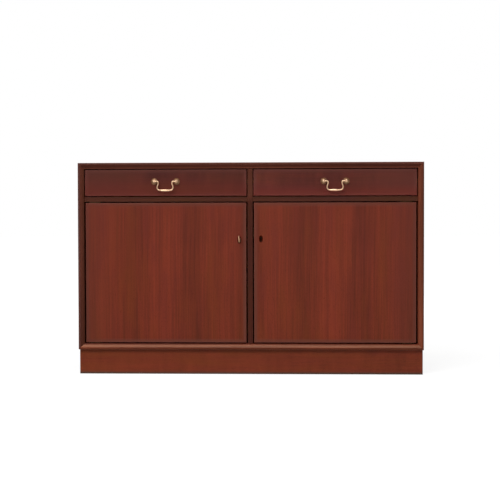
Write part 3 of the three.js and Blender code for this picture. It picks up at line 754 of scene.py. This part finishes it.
def softened(node, finish, slot, front=usual_round, rest=usual_round, shortest=shortest_edge):
    """A board with rounds in millimetres on its front edges and on the rest."""
    shape = merged_copy(node)
    close_mitres(shape)
    width = weigh_edges(shape, front * MM, rest * MM, shortest * MM)
    board = object_from(shape, f"{node}_softened")
    smooth(board, board_crease)
    bevel = board.modifiers.new("arris", "BEVEL")
    bevel.width = width
    bevel.segments = 3
    bevel.limit_method = "WEIGHT"
    bevel.harden_normals = True
    bevel.use_clamp_overlap = False
    settle(board)
    mount(board, node, finish)


print(f"rounds of {usual_round} mm, unless a board says otherwise")

# %% [markdown]
# ## The case and the plinth
#
# The case is four mitred panels, a partition, a divider under each drawer, a shelf on cleats in each bay and
# a plywood back. It stands on a plinth of four rails. Each board could have its own lines of code, but a
# table shows at a glance which one is cut from which wood, and which way its grain runs.

# %% The case and the plinth
case_boards = {
    "top_panel": "case_top", "bottom_panel": "case_bottom",
    "left_side_panel": "case_left", "right_side_panel": "case_right", "centre_partition": "partition",
    "left_drawer_divider": "case_X", "right_drawer_divider": "case_X",
    "left_shelf": "case_X", "right_shelf": "case_X",
}
for side in SIDES:
    for end in SIDES:
        case_boards[f"{side}_shelf_{end}_cleat"] = "case_Y"
for node, finish in case_boards.items():
    softened(node, finish, "case_mahogany")
softened("plinth_front", "plinth_X", "door_mahogany", front=1.0)
softened("plinth_left", "plinth_Y", "door_mahogany")
softened("plinth_right", "plinth_Y", "door_mahogany")
softened("plinth_back", "box_X", "boxwork")
softened("back_panel", "back_ply", "plywood", rest=0.4)
print(len(case_boards) + 5, "boards of case and plinth")

# %% [markdown]
# ## Doors and drawers
#
# Each door is one veneered board. Each drawer has a mahogany front, dovetailed to a box of pale wood, and
# slides on two wooden runners. The fronts get wider rounds than the case, since hands rub them, and the
# box is eased a little too. The two sides are alike, so a loop makes both.

# %% Doors and drawers
for side in SIDES:
    softened(f"{side}_door", f"{side}_door", "door_mahogany", front=0.8, rest=0.6)
    softened(f"{side}_drawer_front", f"{side}_drawer", "drawer_mahogany", front=0.9, rest=0.5)
    softened(f"{side}_drawer_back", "box_X", "boxwork", rest=0.8)
    softened(f"{side}_drawer_bottom", "bottom_ply", "plywood", rest=0.3)
    for end in SIDES:
        softened(f"{side}_drawer_{end}_side", "box_Y", "boxwork", rest=0.8)
        softened(f"{side}_drawer_{end}_runner", "box_Y", "boxwork", rest=0.8)
print("two doors and two drawers")

# %% [markdown]
# ## Hinges, strikes and locks
#
# No hinge shows from the front, so the doors turn on knife hinges let in at their top and bottom corners. The
# CAD shapes of these small parts are right as they are. All that they lack is the broken edge of a filed
# plate, which the same softening gives, only finer.

# %% Hinges, strikes and locks
plate_edges = {"front": 0.25, "rest": 0.25, "shortest": 3.0}
for side in SIDES:
    for level in ("top", "bottom"):
        for leaf in ("case", "door"):
            softened(f"{side}_{level}_hinge_{leaf}_leaf", "shade_darkened", "brass", **plate_edges)
    softened(f"{side}_strike_plate", "shade_darkened", "brass", **plate_edges)
    softened(f"{side}_lock_case", "steel", "steel", rest=0.3, front=0.3, shortest=6.0)
    softened(f"{side}_lock_bolt", "shade_darkened", "brass", rest=0.4, front=0.4, shortest=4.0)
print("eight hinge leaves, two strikes, two locks")

# %% [markdown]
# ## Turned roses
#
# Each handle hangs on two posts that come through a round rose. Both are turned on a lathe, so both are a
# profile spun about an axis. The Spin operator would do, but a ring of points for each step of the profile
# is as short and keeps the seam closed. The rose gets a bead at its rim, a hollow and a low dome.

# %% A lathe
turned_crease = 38


def arc_points(radius, place, half_width, half_height, start, stop, steps):
    """Part of an oval, as steps of a profile, from one turn to another in degrees."""
    turns = [math.radians(start + (stop - start) * i / steps) for i in range(steps + 1)]
    return [(radius + half_width * math.cos(t), place + half_height * math.sin(t)) for t in turns]


def spun(profile, sides, closed):
    """Spins (radius, stand-out) pairs in millimetres about the Y axis, standing out towards -Y."""
    shape = bmesh.new()
    rings = []
    for radius, stand_out in profile:
        if radius < 1e-6:
            rings.append([shape.verts.new((0.0, -stand_out * MM, 0.0))])
            continue
        turns = [2 * math.pi * k / sides for k in range(sides)]
        ring = [(radius * MM * math.cos(t), -stand_out * MM, radius * MM * math.sin(t)) for t in turns]
        rings.append([shape.verts.new(point) for point in ring])
    pairs = list(zip(rings, rings[1:]))
    if closed:
        pairs.append((rings[-1], rings[0]))
    for first, second in pairs:
        for k in range(sides):
            after = (k + 1) % sides
            around = [first[k % len(first)], first[after % len(first)]]
            around += [second[after % len(second)], second[k % len(second)]]
            corners = list(dict.fromkeys(around))
            if len(corners) > 2:
                shape.faces.new(corners)
    bmesh.ops.recalc_face_normals(shape, faces=shape.faces)
    return shape


def placed(shape, name, place, crease=turned_crease):
    """A shape as a smooth object with its place in its mesh."""
    bmesh.ops.translate(shape, verts=shape.verts, vec=place)
    made = object_from(shape, name)
    smooth(made, crease)
    return made


def on_drawer_face(node):
    """Where the axis of a turned piece meets the face of its drawer."""
    low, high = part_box(node)
    return Vector(((low.x + high.x) / 2, drawer_face, (low.z + high.z) / 2))


print(f"the drawers' face is at {drawer_face:.4f} m")

# %% Roses
rose_bore = 2.8
rose_profile = [(rose_bore, 0.3), (11.9, 0.3)]
rose_profile += arc_points(11.5, 1.15, 1.0, 1.0, -50, 165, 12)
rose_profile += [(10.2, 1.2)]
rose_profile += arc_points(9.4, 2.5, 1.2, 1.2, 250, 175, 6)
rose_profile += [(7.9, 2.75)]
rose_profile += arc_points(4.4, 2.75, 3.4, 1.55, 8, 86, 10)
rose_profile += [(rose_bore, 4.3)]
handle_ends = [(side, end) for side in SIDES for end in SIDES]
for side, end in handle_ends:
    node = f"{side}_handle_{end}_rose"
    rose = placed(spun(rose_profile, sides=48, closed=True), f"{node}_turned", on_drawer_face(node))
    mount(rose, node, "handle")
print("four roses,", len(rose_profile), "steps each")

# %% [markdown]
# ## Posts
#
# A post is a threaded pin with a collar, a neck and a ball, and the end of the bail turns in an eye through
# the ball. The eye crosses the axis of the lathe, so it can't be part of the profile. A Boolean modifier cuts
# it with a plain cylinder, which is deleted afterwards.

# %% Posts
pivot_reach = 15.0
post_profile = [(0.0, -25.0), (2.2, -25.0), (2.5, -24.6), (2.5, 4.6), (4.2, 4.6)]
post_profile += arc_points(4.0, 5.4, 0.6, 0.8, -60, 80, 6)
post_profile += arc_points(5.4, 8.2, 2.0, 1.9, 255, 150, 8)
post_profile += arc_points(0.0, pivot_reach, 5.5, 5.5, -50, 62, 16)
post_profile += [(2.5, 20.1), (1.6, 20.4), (0.0, 20.5)]
eye_radius = 2.6
eye_length = 16.0


def eye_cutter(place):
    """A cylinder along X, as wide as the eye."""
    cutter = bmesh.new()
    lying = Matrix.Translation(place) @ Matrix.Rotation(math.pi / 2, 4, "Y")
    size = {"radius1": eye_radius * MM, "radius2": eye_radius * MM, "depth": eye_length * MM}
    bmesh.ops.create_cone(cutter, cap_ends=True, segments=24, matrix=lying, **size)
    return object_from(cutter, "eye_cutter")


for side, end in handle_ends:
    node = f"{side}_handle_{end}_post"
    foot = on_drawer_face(node)
    post = object_from(spun(post_profile, sides=32, closed=False), f"{node}_turned")
    post.data.transform(Matrix.Translation(foot))
    cutter = eye_cutter(foot - Vector((0.0, pivot_reach * MM, 0.0)))
    hole = post.modifiers.new("eye", "BOOLEAN")
    hole.object = cutter
    hole.solver = "EXACT"
    settle(post)
    bpy.data.objects.remove(cutter)
    smooth(post, turned_crease)
    mount(post, node, "handle")
print("four posts with eyes of", 2 * eye_radius, "mm")

# %% [markdown]
# ## The swan-neck bails
#
# A bail is one bent rod: straight through the posts, an S on each side and a bar that swells where the
# fingers pull. It follows a path, so a small Geometry Nodes tree sweeps a circle along a curve, with the
# radius worked out from the place along it. The path is the same smooth curve that the CAD model uses.

# %% Geometry Nodes helpers
def node_group(name, inputs):
    """A geometry tree with named inputs; gives the tree, its input node and the identifiers."""
    group = bpy.data.node_groups.new(name, "GeometryNodeTree")
    group.interface.new_socket("Geometry", in_out="INPUT", socket_type="NodeSocketGeometry")
    group.interface.new_socket("Geometry", in_out="OUTPUT", socket_type="NodeSocketGeometry")
    named = {}
    for label, kind in inputs.items():
        named[label] = group.interface.new_socket(label, in_out="INPUT", socket_type=kind).identifier
    tree = Tree(group)
    return tree, tree.node("NodeGroupInput"), named


def run_group(made, tree, named, values):
    """Puts the tree on an object, sets its inputs and makes the result a plain mesh."""
    modifier = made.modifiers.new("build", "NODES")
    modifier.node_group = tree.node_tree
    for label, value in values.items():
        modifier[named[label]] = value
    graph = bpy.context.evaluated_depsgraph_get()
    mesh = bpy.data.meshes.new_from_object(made.evaluated_get(graph))
    name = made.name
    bpy.data.objects.remove(made)
    mesh.name = name
    result = bpy.data.objects.new(name, mesh)
    scene.collection.objects.link(result)
    return result


print("helpers for trees with named inputs")

# %% The rod tree
rod_inputs = {
    "Wire radius": "NodeSocketFloat",
    "Grip radius": "NodeSocketFloat",
    "Grip spread": "NodeSocketFloat",
    "Sides": "NodeSocketInt",
    "Finish": "NodeSocketMaterial",
}
rod, rod_in, rod_names = node_group("swelling_rod", rod_inputs)
along = rod.node("GeometryNodeSplineParameter", output="Factor")
off_middle = (along - 0.5) / rod_in.out("Grip spread")
swell = (off_middle * off_middle * -1.0).math("EXPONENT")
radius = rod_in.out("Wire radius") + (rod_in.out("Grip radius") - rod_in.out("Wire radius")) * swell
round_section = {"Resolution": rod_in.out("Sides"), "Radius": 1.0}
circle = rod.node("GeometryNodeCurvePrimitiveCircle", {}, round_section)
swept = {"Curve": rod_in.out("Geometry"), "Profile Curve": circle, "Scale": radius, "Fill Caps": True}
skin = rod.node("GeometryNodeCurveToMesh", {}, swept)
whole = rod.node("GeometryNodeRealizeInstances", {}, {"Geometry": skin})
dressed = rod.node("GeometryNodeSetMaterial", {}, {"Geometry": whole, "Material": rod_in.out("Finish")})
rod.node("NodeGroupOutput", {}, {0: dressed})
print("rod tree with", ", ".join(rod_names))


# %% The path of a bail
fine_steps = 60


def smooth_path(points, count):
    """A centripetal Catmull-Rom curve through the points, as evenly spaced places."""
    first = points[0] * 2 - points[1]
    last = points[-1] * 2 - points[-2]
    full = [first, *points, last]
    fine = []
    for p0, p1, p2, p3 in zip(full, full[1:], full[2:], full[3:]):
        d0, d1, d2 = (math.sqrt((b - a).length) for a, b in ((p0, p1), (p1, p2), (p2, p3)))
        t1 = ((p1 - p0) / d0 - (p2 - p0) / (d0 + d1) + (p2 - p1) / d1) * d1
        t2 = ((p2 - p1) / d1 - (p3 - p1) / (d1 + d2) + (p3 - p2) / d2) * d1
        for i in range(fine_steps):
            t = i / fine_steps
            hermite = (2 * t**3 - 3 * t**2 + 1, t**3 - 2 * t**2 + t, 3 * t**2 - 2 * t**3, t**3 - t**2)
            fine.append(p1 * hermite[0] + t1 * hermite[1] + p2 * hermite[2] + t2 * hermite[3])
    fine.append(points[-1])
    lengths = [0.0]
    for a, b in zip(fine, fine[1:]):
        lengths.append(lengths[-1] + (b - a).length)
    even = []
    spot = 0
    for i in range(count):
        want = lengths[-1] * i / (count - 1)
        while spot < len(fine) - 2 and lengths[spot + 1] < want:
            spot += 1
        share = (want - lengths[spot]) / max(lengths[spot + 1] - lengths[spot], 1e-9)
        even.append(fine[spot].lerp(fine[spot + 1], min(share, 1.0)))
    return even


bail_half = [(46.25, 0.0), (35.625, 0.0), (28.0, -1.15), (26.8, -8.0), (30.8, -22.0), (26.5, -32.2)]
bail_drop = 35.0
bail_points = [Vector((-x, 0.0, z)) for x, z in bail_half]
bail_points += [Vector((0.0, 0.0, -bail_drop))]
bail_points += [Vector((x, 0.0, z)) for x, z in reversed(bail_half)]
bail_path = smooth_path(bail_points, count=150)
print("a path of", len(bail_path), "points through", len(bail_points))

# %% Two bails
bail_crease = 50
bail_sizes = {"Wire radius": 2.3 * MM, "Grip radius": 4.2 * MM, "Grip spread": 0.1, "Sides": 20}
for side in SIDES:
    node = f"{side}_handle_bail"
    low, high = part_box(node)
    pivot_height = on_drawer_face(f"{side}_handle_left_rose").z
    pivot = Vector(((low.x + high.x) / 2, drawer_face - pivot_reach * MM, pivot_height))
    curve = bpy.data.curves.new(f"{node}_path", "CURVE")
    curve.dimensions = "3D"
    spline = curve.splines.new("POLY")
    spline.points.add(len(bail_path) - 1)
    for point, place in zip(spline.points, bail_path):
        point.co = (*(place * MM + pivot), 1.0)
    path = bpy.data.objects.new(f"{node}_swept", curve)
    scene.collection.objects.link(path)
    bail = run_group(path, rod, rod_names, {**bail_sizes, "Finish": finishes["handle"]})
    smooth(bail, bail_crease)
    mount(bail, node, "handle")
print("two bails,", len(bail.data.polygons), "faces each")

# %% [markdown]
# ## The key
#
# One key stands in the left lock, its oval bow turned edge on. The bow is a flat ring with rounded sides, the
# shank is turned, and the bit inside the lock is a small plate with a ward cut. They are made as three plain
# shapes and joined, and the whole key leans two degrees, as a key does that was let go after a turn.

# %% The bow of the key
key_low, key_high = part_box("left_key")
key_axis = Vector(((key_low.x + key_high.x) / 2, 0.0, (key_low.z + key_high.z) / 2))
key_front, key_tip = key_low.y, key_high.y
bow_length = 22.0
bow_middle_y, bow_middle_z = 8.0, 10.75
bow_half_y, bow_half_z, bow_half_x = 3.0, 3.25, 1.4
bow_squareness = 0.75


def bow_ring(steps=56, around=14):
    """A flat oval ring in the YZ plane, 22 by 28 mm outside and 10 by 15 mm inside."""
    shape = bmesh.new()
    rings = []
    for i in range(steps):
        turn = 2 * math.pi * i / steps
        ring = []
        for k in range(around):
            swing = 2 * math.pi * k / around
            wide = math.copysign(abs(math.cos(swing)) ** bow_squareness, math.cos(swing))
            thick = math.copysign(abs(math.sin(swing)) ** bow_squareness, math.sin(swing))
            y = (bow_middle_y + bow_half_y * wide) * math.cos(turn) + bow_length / 2
            z = (bow_middle_z + bow_half_z * wide) * math.sin(turn)
            ring.append(shape.verts.new((bow_half_x * thick * MM, key_front + y * MM, z * MM)))
        rings.append(ring)
    for first, second in zip(rings, rings[1:] + rings[:1]):
        for k in range(around):
            after = (k + 1) % around
            shape.faces.new((first[k], second[k], second[after], first[after]))
    return shape


print(f"a bow of {bow_length} mm on a key of {(key_tip - key_front) / MM:.1f} mm")

# %% The shank, the bit and the whole key
key_lean = math.radians(-2.0)
shank_end = (key_tip - key_front) / MM
pipe_depth = 6.0
shank_profile = [(0.0, bow_length - 3.0), (2.0, bow_length - 3.0), (2.5, bow_length - 1.0)]
shank_profile += arc_points(2.4, bow_length + 0.9, 0.9, 0.9, -80, 80, 8)
shank_profile += arc_points(2.4, bow_length + 2.4, 0.7, 0.6, -80, 80, 6)
shank_profile += [(2.6, bow_length + 3.2), (2.6, shank_end - 0.4), (2.2, shank_end), (1.6, shank_end)]
shank_profile += [(1.6, shank_end - pipe_depth), (0.0, shank_end - pipe_depth)]
bit_root, bit_foot, bit_length = -1.5, -13.0, 6.0
ward_top, ward_front, ward_rear = -9.0, 3.8, 2.2
bit_half_width = 1.4
bit_outline = [
    (0.0, bit_foot), (0.0, bit_root), (bit_length, bit_root), (bit_length, bit_foot),
    (ward_front, bit_foot), (ward_front, ward_top), (ward_rear, ward_top), (ward_rear, bit_foot),
]


def prism_across_x(outline, half_width):
    """A plate from an outline of distances from the key's tip and heights, with its thickness along X."""
    shape = bmesh.new()
    rims = []
    for x in (-half_width * MM, half_width * MM):
        rims.append([shape.verts.new((x, key_tip - back * MM, z * MM)) for back, z in outline])
        shape.faces.new(rims[-1])
    near, far = rims
    for k in range(len(outline)):
        after = (k + 1) % len(outline)
        shape.faces.new((near[k], near[after], far[after], far[k]))
    return shape


def joined(parts):
    """Several shapes as one, with the faces of each turned outwards."""
    whole_shape = bmesh.new()
    for part in parts:
        bmesh.ops.recalc_face_normals(part, faces=part.faces)
        spare = bpy.data.meshes.new("spare")
        part.to_mesh(spare)
        part.free()
        whole_shape.from_mesh(spare)
        bpy.data.meshes.remove(spare)
    return whole_shape


def turned_about(shape, angle, axis):
    bmesh.ops.rotate(shape, verts=shape.verts, cent=(0, 0, 0), matrix=Matrix.Rotation(angle, 3, axis))


shank = spun([(radius, -place) for radius, place in shank_profile], sides=28, closed=False)
bmesh.ops.translate(shank, verts=shank.verts, vec=(0.0, key_front, 0.0))
whole_key = joined([bow_ring(), shank, prism_across_x(bit_outline, bit_half_width)])
turned_about(whole_key, key_lean, "Y")
key = placed(whole_key, "left_key_turned", key_axis)
mount(key, "left_key", "key")
print("key of", len(key.data.polygons), "faces")

# %% [markdown]
# ## Keyhole plates
#
# Round each keyhole sits a small oval plate of near-black wood, with a short lining that goes into the hole.
# Its section is the same all the way round, but its outside is an oval and its inside has the shape of a
# keyhole. A Boolean would leave long thin faces there. So the plate is made as rings of points on rays from
# one middle: each ray is as long as the outline that it has to reach.

# %% Two oval plates with keyholes
plate_middle = 3.4
hole_radius, hole_half, hole_reach = 4.7, 2.3, 15.0
plate_half_width, plate_half_height = 7.4, 13.4
oval_power = 2.2
plate_thickness, plate_bevel, plate_arris = 0.6, 0.5, 0.3
lining_wall, lining_depth = 0.3, 3.0
plate_crease = 30
longest_ray, halvings = 20.0, 24


def in_keyhole(x, z):
    return math.hypot(x, z) < hole_radius or (abs(x) < hole_half and -hole_reach < z < 0)


def keyhole_ray(turn):
    """How far the keyhole reaches from the middle of the plate, in millimetres, found by halving."""
    near, far = 0.0, longest_ray
    for _ in range(halvings):
        halfway = (near + far) / 2
        inside = in_keyhole(halfway * math.cos(turn), halfway * math.sin(turn) - plate_middle)
        near, far = (halfway, far) if inside else (near, halfway)
    return near


def oval_ray(turn):
    """How far the outside of the plate reaches, in millimetres."""
    wide = abs(math.cos(turn)) / plate_half_width
    tall = abs(math.sin(turn)) / plate_half_height
    return (wide**oval_power + tall**oval_power) ** (-1 / oval_power)


def keyhole_plate(sides=72):
    """Rings of points, each a distance from the middle and a depth from the door's face."""
    shape = bmesh.new()
    rings = []
    for k in range(sides):
        turn = 2 * math.pi * k / sides
        outer, inner = oval_ray(turn), keyhole_ray(turn)
        wall = inner + lining_wall
        section = [(outer, 0.0), (outer, -plate_arris), (outer - plate_bevel, -plate_thickness)]
        section += [(wall, -plate_thickness), (inner, -plate_arris)]
        section += [(inner, lining_depth), (wall, lining_depth), (wall, 0.0)]
        ring = []
        for reach, y in section:
            x, z = reach * math.cos(turn), reach * math.sin(turn) - plate_middle
            ring.append(shape.verts.new((x * MM, y * MM, z * MM)))
        rings.append(ring)
    for first, second in zip(rings, rings[1:] + rings[:1]):
        for i in range(len(first)):
            after = (i + 1) % len(first)
            shape.faces.new((first[i], first[after], second[after], second[i]))
    bmesh.ops.recalc_face_normals(shape, faces=shape.faces)
    return shape


right_hole_x = -key_axis.x
right_hole_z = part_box("right_lock_case")[0].z + (key_axis.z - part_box("left_lock_case")[0].z)
for side, x, z in (("left", key_axis.x, key_axis.z), ("right", right_hole_x, right_hole_z)):
    place = Vector((x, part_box(f"{side}_door")[0].y, z))
    plate = placed(keyhole_plate(), f"{side}_keyhole_plate", place, plate_crease)
    plate.data.materials.append(finishes["keyhole"])
    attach(plate, f"{side}_leaf")
print("two keyhole plates,", 2 * plate_half_height, "mm high")

# %% [markdown]
# ## Screws and nuts
#
# Slotted countersunk screws hold the hinges, locks, strikes, runners, cleats and the back, and a nut on a
# washer holds each post. One head and one nut are made, and a Geometry Nodes tree sets a copy on
# every point of a list, turned to face out of its board, each slot at its own angle from a fixed seed.
# Copies made in a loop would do, but the tree gives one plain mesh for each body that moves.

# %% One screw head
def screw_head(radius=1.0, depth=0.45, slot_half=0.14, slot_depth=0.25, steps=7):
    """A slotted head of radius 1, its flat top at z = 0 and facing +Z."""
    shape = bmesh.new()
    start = math.asin(slot_half / radius)
    half_turn = [start + (math.pi - 2 * start) * i / steps for i in range(steps + 1)]
    turns = half_turn + [turn + math.pi for turn in half_turn]
    count = len(turns)
    ends = [0, steps, steps + 1, count - 1]
    rim = [shape.verts.new((radius * math.cos(t), radius * math.sin(t), 0.0)) for t in turns]
    base = [shape.verts.new((radius * math.cos(t), radius * math.sin(t), -depth)) for t in turns]
    slot = {i: shape.verts.new((rim[i].co.x, rim[i].co.y, -slot_depth)) for i in ends}
    shape.faces.new(rim[: steps + 1])
    shape.faces.new(rim[steps + 1 :])
    shape.faces.new([slot[i] for i in ends])
    shape.faces.new(reversed(base))
    for first, last in ((0, steps), (steps + 1, count - 1)):
        shape.faces.new((rim[first], slot[first], slot[last], rim[last]))
    for i in range(count):
        after = (i + 1) % count
        if {i, after} in ({steps, steps + 1}, {count - 1, 0}):
            shape.faces.new((base[i], base[after], slot[after], slot[i]))
            continue
        wall = [base[i], base[after], slot.get(after), rim[after], rim[i], slot.get(i)]
        shape.faces.new([corner for corner in wall if corner])
    bmesh.ops.recalc_face_normals(shape, faces=shape.faces)
    return object_from(shape, "screw_head_pattern")


screw = screw_head()
print("a screw head of", len(screw.data.polygons), "faces")

# %% One nut on its washer
washer_profile = [(2.9, 0.0), (6.0, 0.0), (6.2, 0.2), (6.2, 0.8), (6.0, 1.0), (2.9, 1.0)]
nut_profile = [(3.0, 1.0), (4.4, 1.0), (4.8, 1.4), (4.8, 3.6), (4.4, 4.0), (3.0, 4.0)]
washer = spun(washer_profile, sides=28, closed=True)
hexagon = spun(nut_profile, sides=6, closed=True)
nut_shape = joined([washer, hexagon])
turned_about(nut_shape, -math.pi / 2, "X")
bmesh.ops.scale(nut_shape, verts=nut_shape.verts, vec=(1 / MM, 1 / MM, 1 / MM))
nut = object_from(nut_shape, "nut_pattern")
print("a nut of", len(nut.data.polygons), "faces, standing up along Z in millimetres")

# %% The tree that sets the fasteners
fastener_inputs = {
    "Pattern": "NodeSocketObject",
    "Size": "NodeSocketFloat",
    "Seed": "NodeSocketInt",
    "Finish": "NodeSocketMaterial",
}
setter, setter_in, setter_names = node_group("set_fasteners", fastener_inputs)
pattern = setter.node("GeometryNodeObjectInfo", {}, {"Object": setter_in.out("Pattern")}, output="Geometry")
facing = setter.node("GeometryNodeInputNamedAttribute", {"data_type": "FLOAT_VECTOR"}, {"Name": "facing"})
upright = setter.node("FunctionNodeAlignRotationToVector", {"axis": "Z"}, {"Vector": facing})
turn_limits = {2: 0.0, 3: math.pi, "Seed": setter_in.out("Seed")}
slot_turn = setter.node("FunctionNodeRandomValue", {"data_type": "FLOAT"}, turn_limits, output=1)
about_axis = setter.node("FunctionNodeAxisAngleToRotation", {}, {"Axis": (0, 0, 1), "Angle": slot_turn})
own_turn = {"Rotation": upright, "Rotate By": about_axis}
tilt = setter.node("FunctionNodeRotateRotation", {"rotation_space": "LOCAL"}, own_turn)
spots = setter.node("GeometryNodeMeshToPoints", {}, {"Mesh": setter_in.out("Geometry")})
copied = {"Points": spots, "Instance": pattern, "Rotation": tilt, "Scale": setter_in.out("Size")}
copies = setter.node("GeometryNodeInstanceOnPoints", {}, copied)
solid = setter.node("GeometryNodeRealizeInstances", {}, {"Geometry": copies})
coated = setter.node("GeometryNodeSetMaterial", {}, {"Geometry": solid, "Material": setter_in.out("Finish")})
setter.node("NodeGroupOutput", {}, {0: coated})
print("fastener tree with", ", ".join(setter_names))


def set_fasteners(name, body, places, values):
    """One mesh of fasteners on a body, from places and the ways that they face."""
    points = bpy.data.meshes.new(name)
    points.from_pydata([place for place, _ in places], [], [])
    facings = points.attributes.new("facing", "FLOAT_VECTOR", "POINT")
    for entry, (_, way) in zip(facings.data, places):
        entry.vector = way
    holder = bpy.data.objects.new(name, points)
    scene.collection.objects.link(holder)
    made = run_group(holder, setter, setter_names, values)
    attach(made, body)
    print(f"{name}: {len(places)} on {body}")


# %% [markdown]
# ## Where the screws go
#
# The screws hold what the frame already has, so their places come from the boxes of those pieces: two in
# each hinge leaf, four in each lock, two in each strike, three along each runner and cleat, and rows along
# the edges and the middle of the back. Places typed in by hand would be shorter, but they would be wrong as
# soon as a board changed.

# %% Small screws, in the fittings
UP, DOWN, REAR = Vector((0, 0, 1)), Vector((0, 0, -1)), Vector((0, 1, 0))
proud = 0.06 * MM
leaf_gap = 0.5 * MM
leaf_shares = (0.20, 0.56)
corner_inset = 5 * MM
strike_inset = 4.5 * MM
small_screws = {"case": [], "left_leaf": [], "right_leaf": []}
for side, hand in (("left", -1), ("right", 1)):
    for level, way in (("bottom", UP), ("top", DOWN)):
        low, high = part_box(f"{side}_{level}_hinge_door_leaf")
        meeting = low.z if way.z > 0 else high.z
        y = (low.y + high.y) / 2
        for share in leaf_shares:
            x = low.x + (share if hand > 0 else 1 - share) * (high.x - low.x)
            spot = Vector((x, y, meeting))
            small_screws["case"].append((spot - way * (leaf_gap - proud), way))
            small_screws[f"{side}_leaf"].append((spot - way * proud, -way))
    low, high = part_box(f"{side}_lock_case")
    for x in (low.x + corner_inset, high.x - corner_inset):
        for z in (low.z + corner_inset, high.z - corner_inset):
            small_screws[f"{side}_leaf"].append((Vector((x, high.y + proud, z)), REAR))
    low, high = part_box(f"{side}_strike_plate")
    x = hand * (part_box("centre_partition")[1].x + proud)
    for z in (low.z + corner_inset, high.z - corner_inset):
        small_screws["case"].append((Vector((x, low.y + strike_inset, z)), Vector((hand, 0, 0))))
print("small screws:", {body: len(places) for body, places in small_screws.items()})

# %% Board screws, along the runners, the cleats and the back
board_shares = (0.1, 0.5, 0.9)
columns, rows = 9, 6


def spread(low, high, count):
    """Evenly spaced places along a board, a little in from its ends."""
    return [low + corner_inset + (high - low - 2 * corner_inset) * i / (count - 1) for i in range(count)]


board_screws = []
for side in SIDES:
    for end, inward in (("left", 1), ("right", -1)):
        for node in (f"{side}_drawer_{end}_runner", f"{side}_shelf_{end}_cleat"):
            low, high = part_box(node)
            x = (high.x if inward > 0 else low.x) + inward * proud
            z = low.z + 0.5 * (high.z - low.z)
            for share in board_shares:
                y = low.y + share * (high.y - low.y)
                board_screws.append((Vector((x, y, z)), Vector((inward, 0, 0))))
low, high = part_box("back_panel")
along_back = spread(low.x, high.x, columns)
up_back = spread(low.z, high.z, rows)
back_spots = [(x, z) for x in along_back for z in (up_back[0], up_back[-1])]
upright_lines = along_back[0], along_back[columns // 2], along_back[-1]
back_spots += [(x, z) for x in upright_lines for z in up_back[1:-1]]
board_screws += [(Vector((x, high.y + proud, z)), REAR) for x, z in back_spots]
print("board screws:", len(board_screws), "of which", len(back_spots), "hold the back")

# %% Set the screws and the nuts
small_head, board_head = 2.5 * MM, 3.4 * MM
for number, (body, places) in enumerate(small_screws.items()):
    values = {"Pattern": screw, "Size": small_head, "Seed": 5 + number, "Finish": finishes["shade_darkened"]}
    set_fasteners(f"{body}_small_screws", body, places, values)
values = {"Pattern": screw, "Size": board_head, "Seed": 11, "Finish": finishes["steel"]}
set_fasteners("case_board_screws", "case", board_screws, values)
for side in SIDES:
    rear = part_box(f"{side}_drawer_front")[1].y
    places = []
    for end in SIDES:
        middle = on_drawer_face(f"{side}_handle_{end}_rose")
        places.append((Vector((middle.x, rear, middle.z)), REAR))
    values = {"Pattern": nut, "Size": MM, "Seed": 17, "Finish": finishes["shade_darkened"]}
    set_fasteners(f"{side}_drawer_nuts", f"{side}_drawer", places, values)
for used in (screw, nut):
    bpy.data.objects.remove(used)
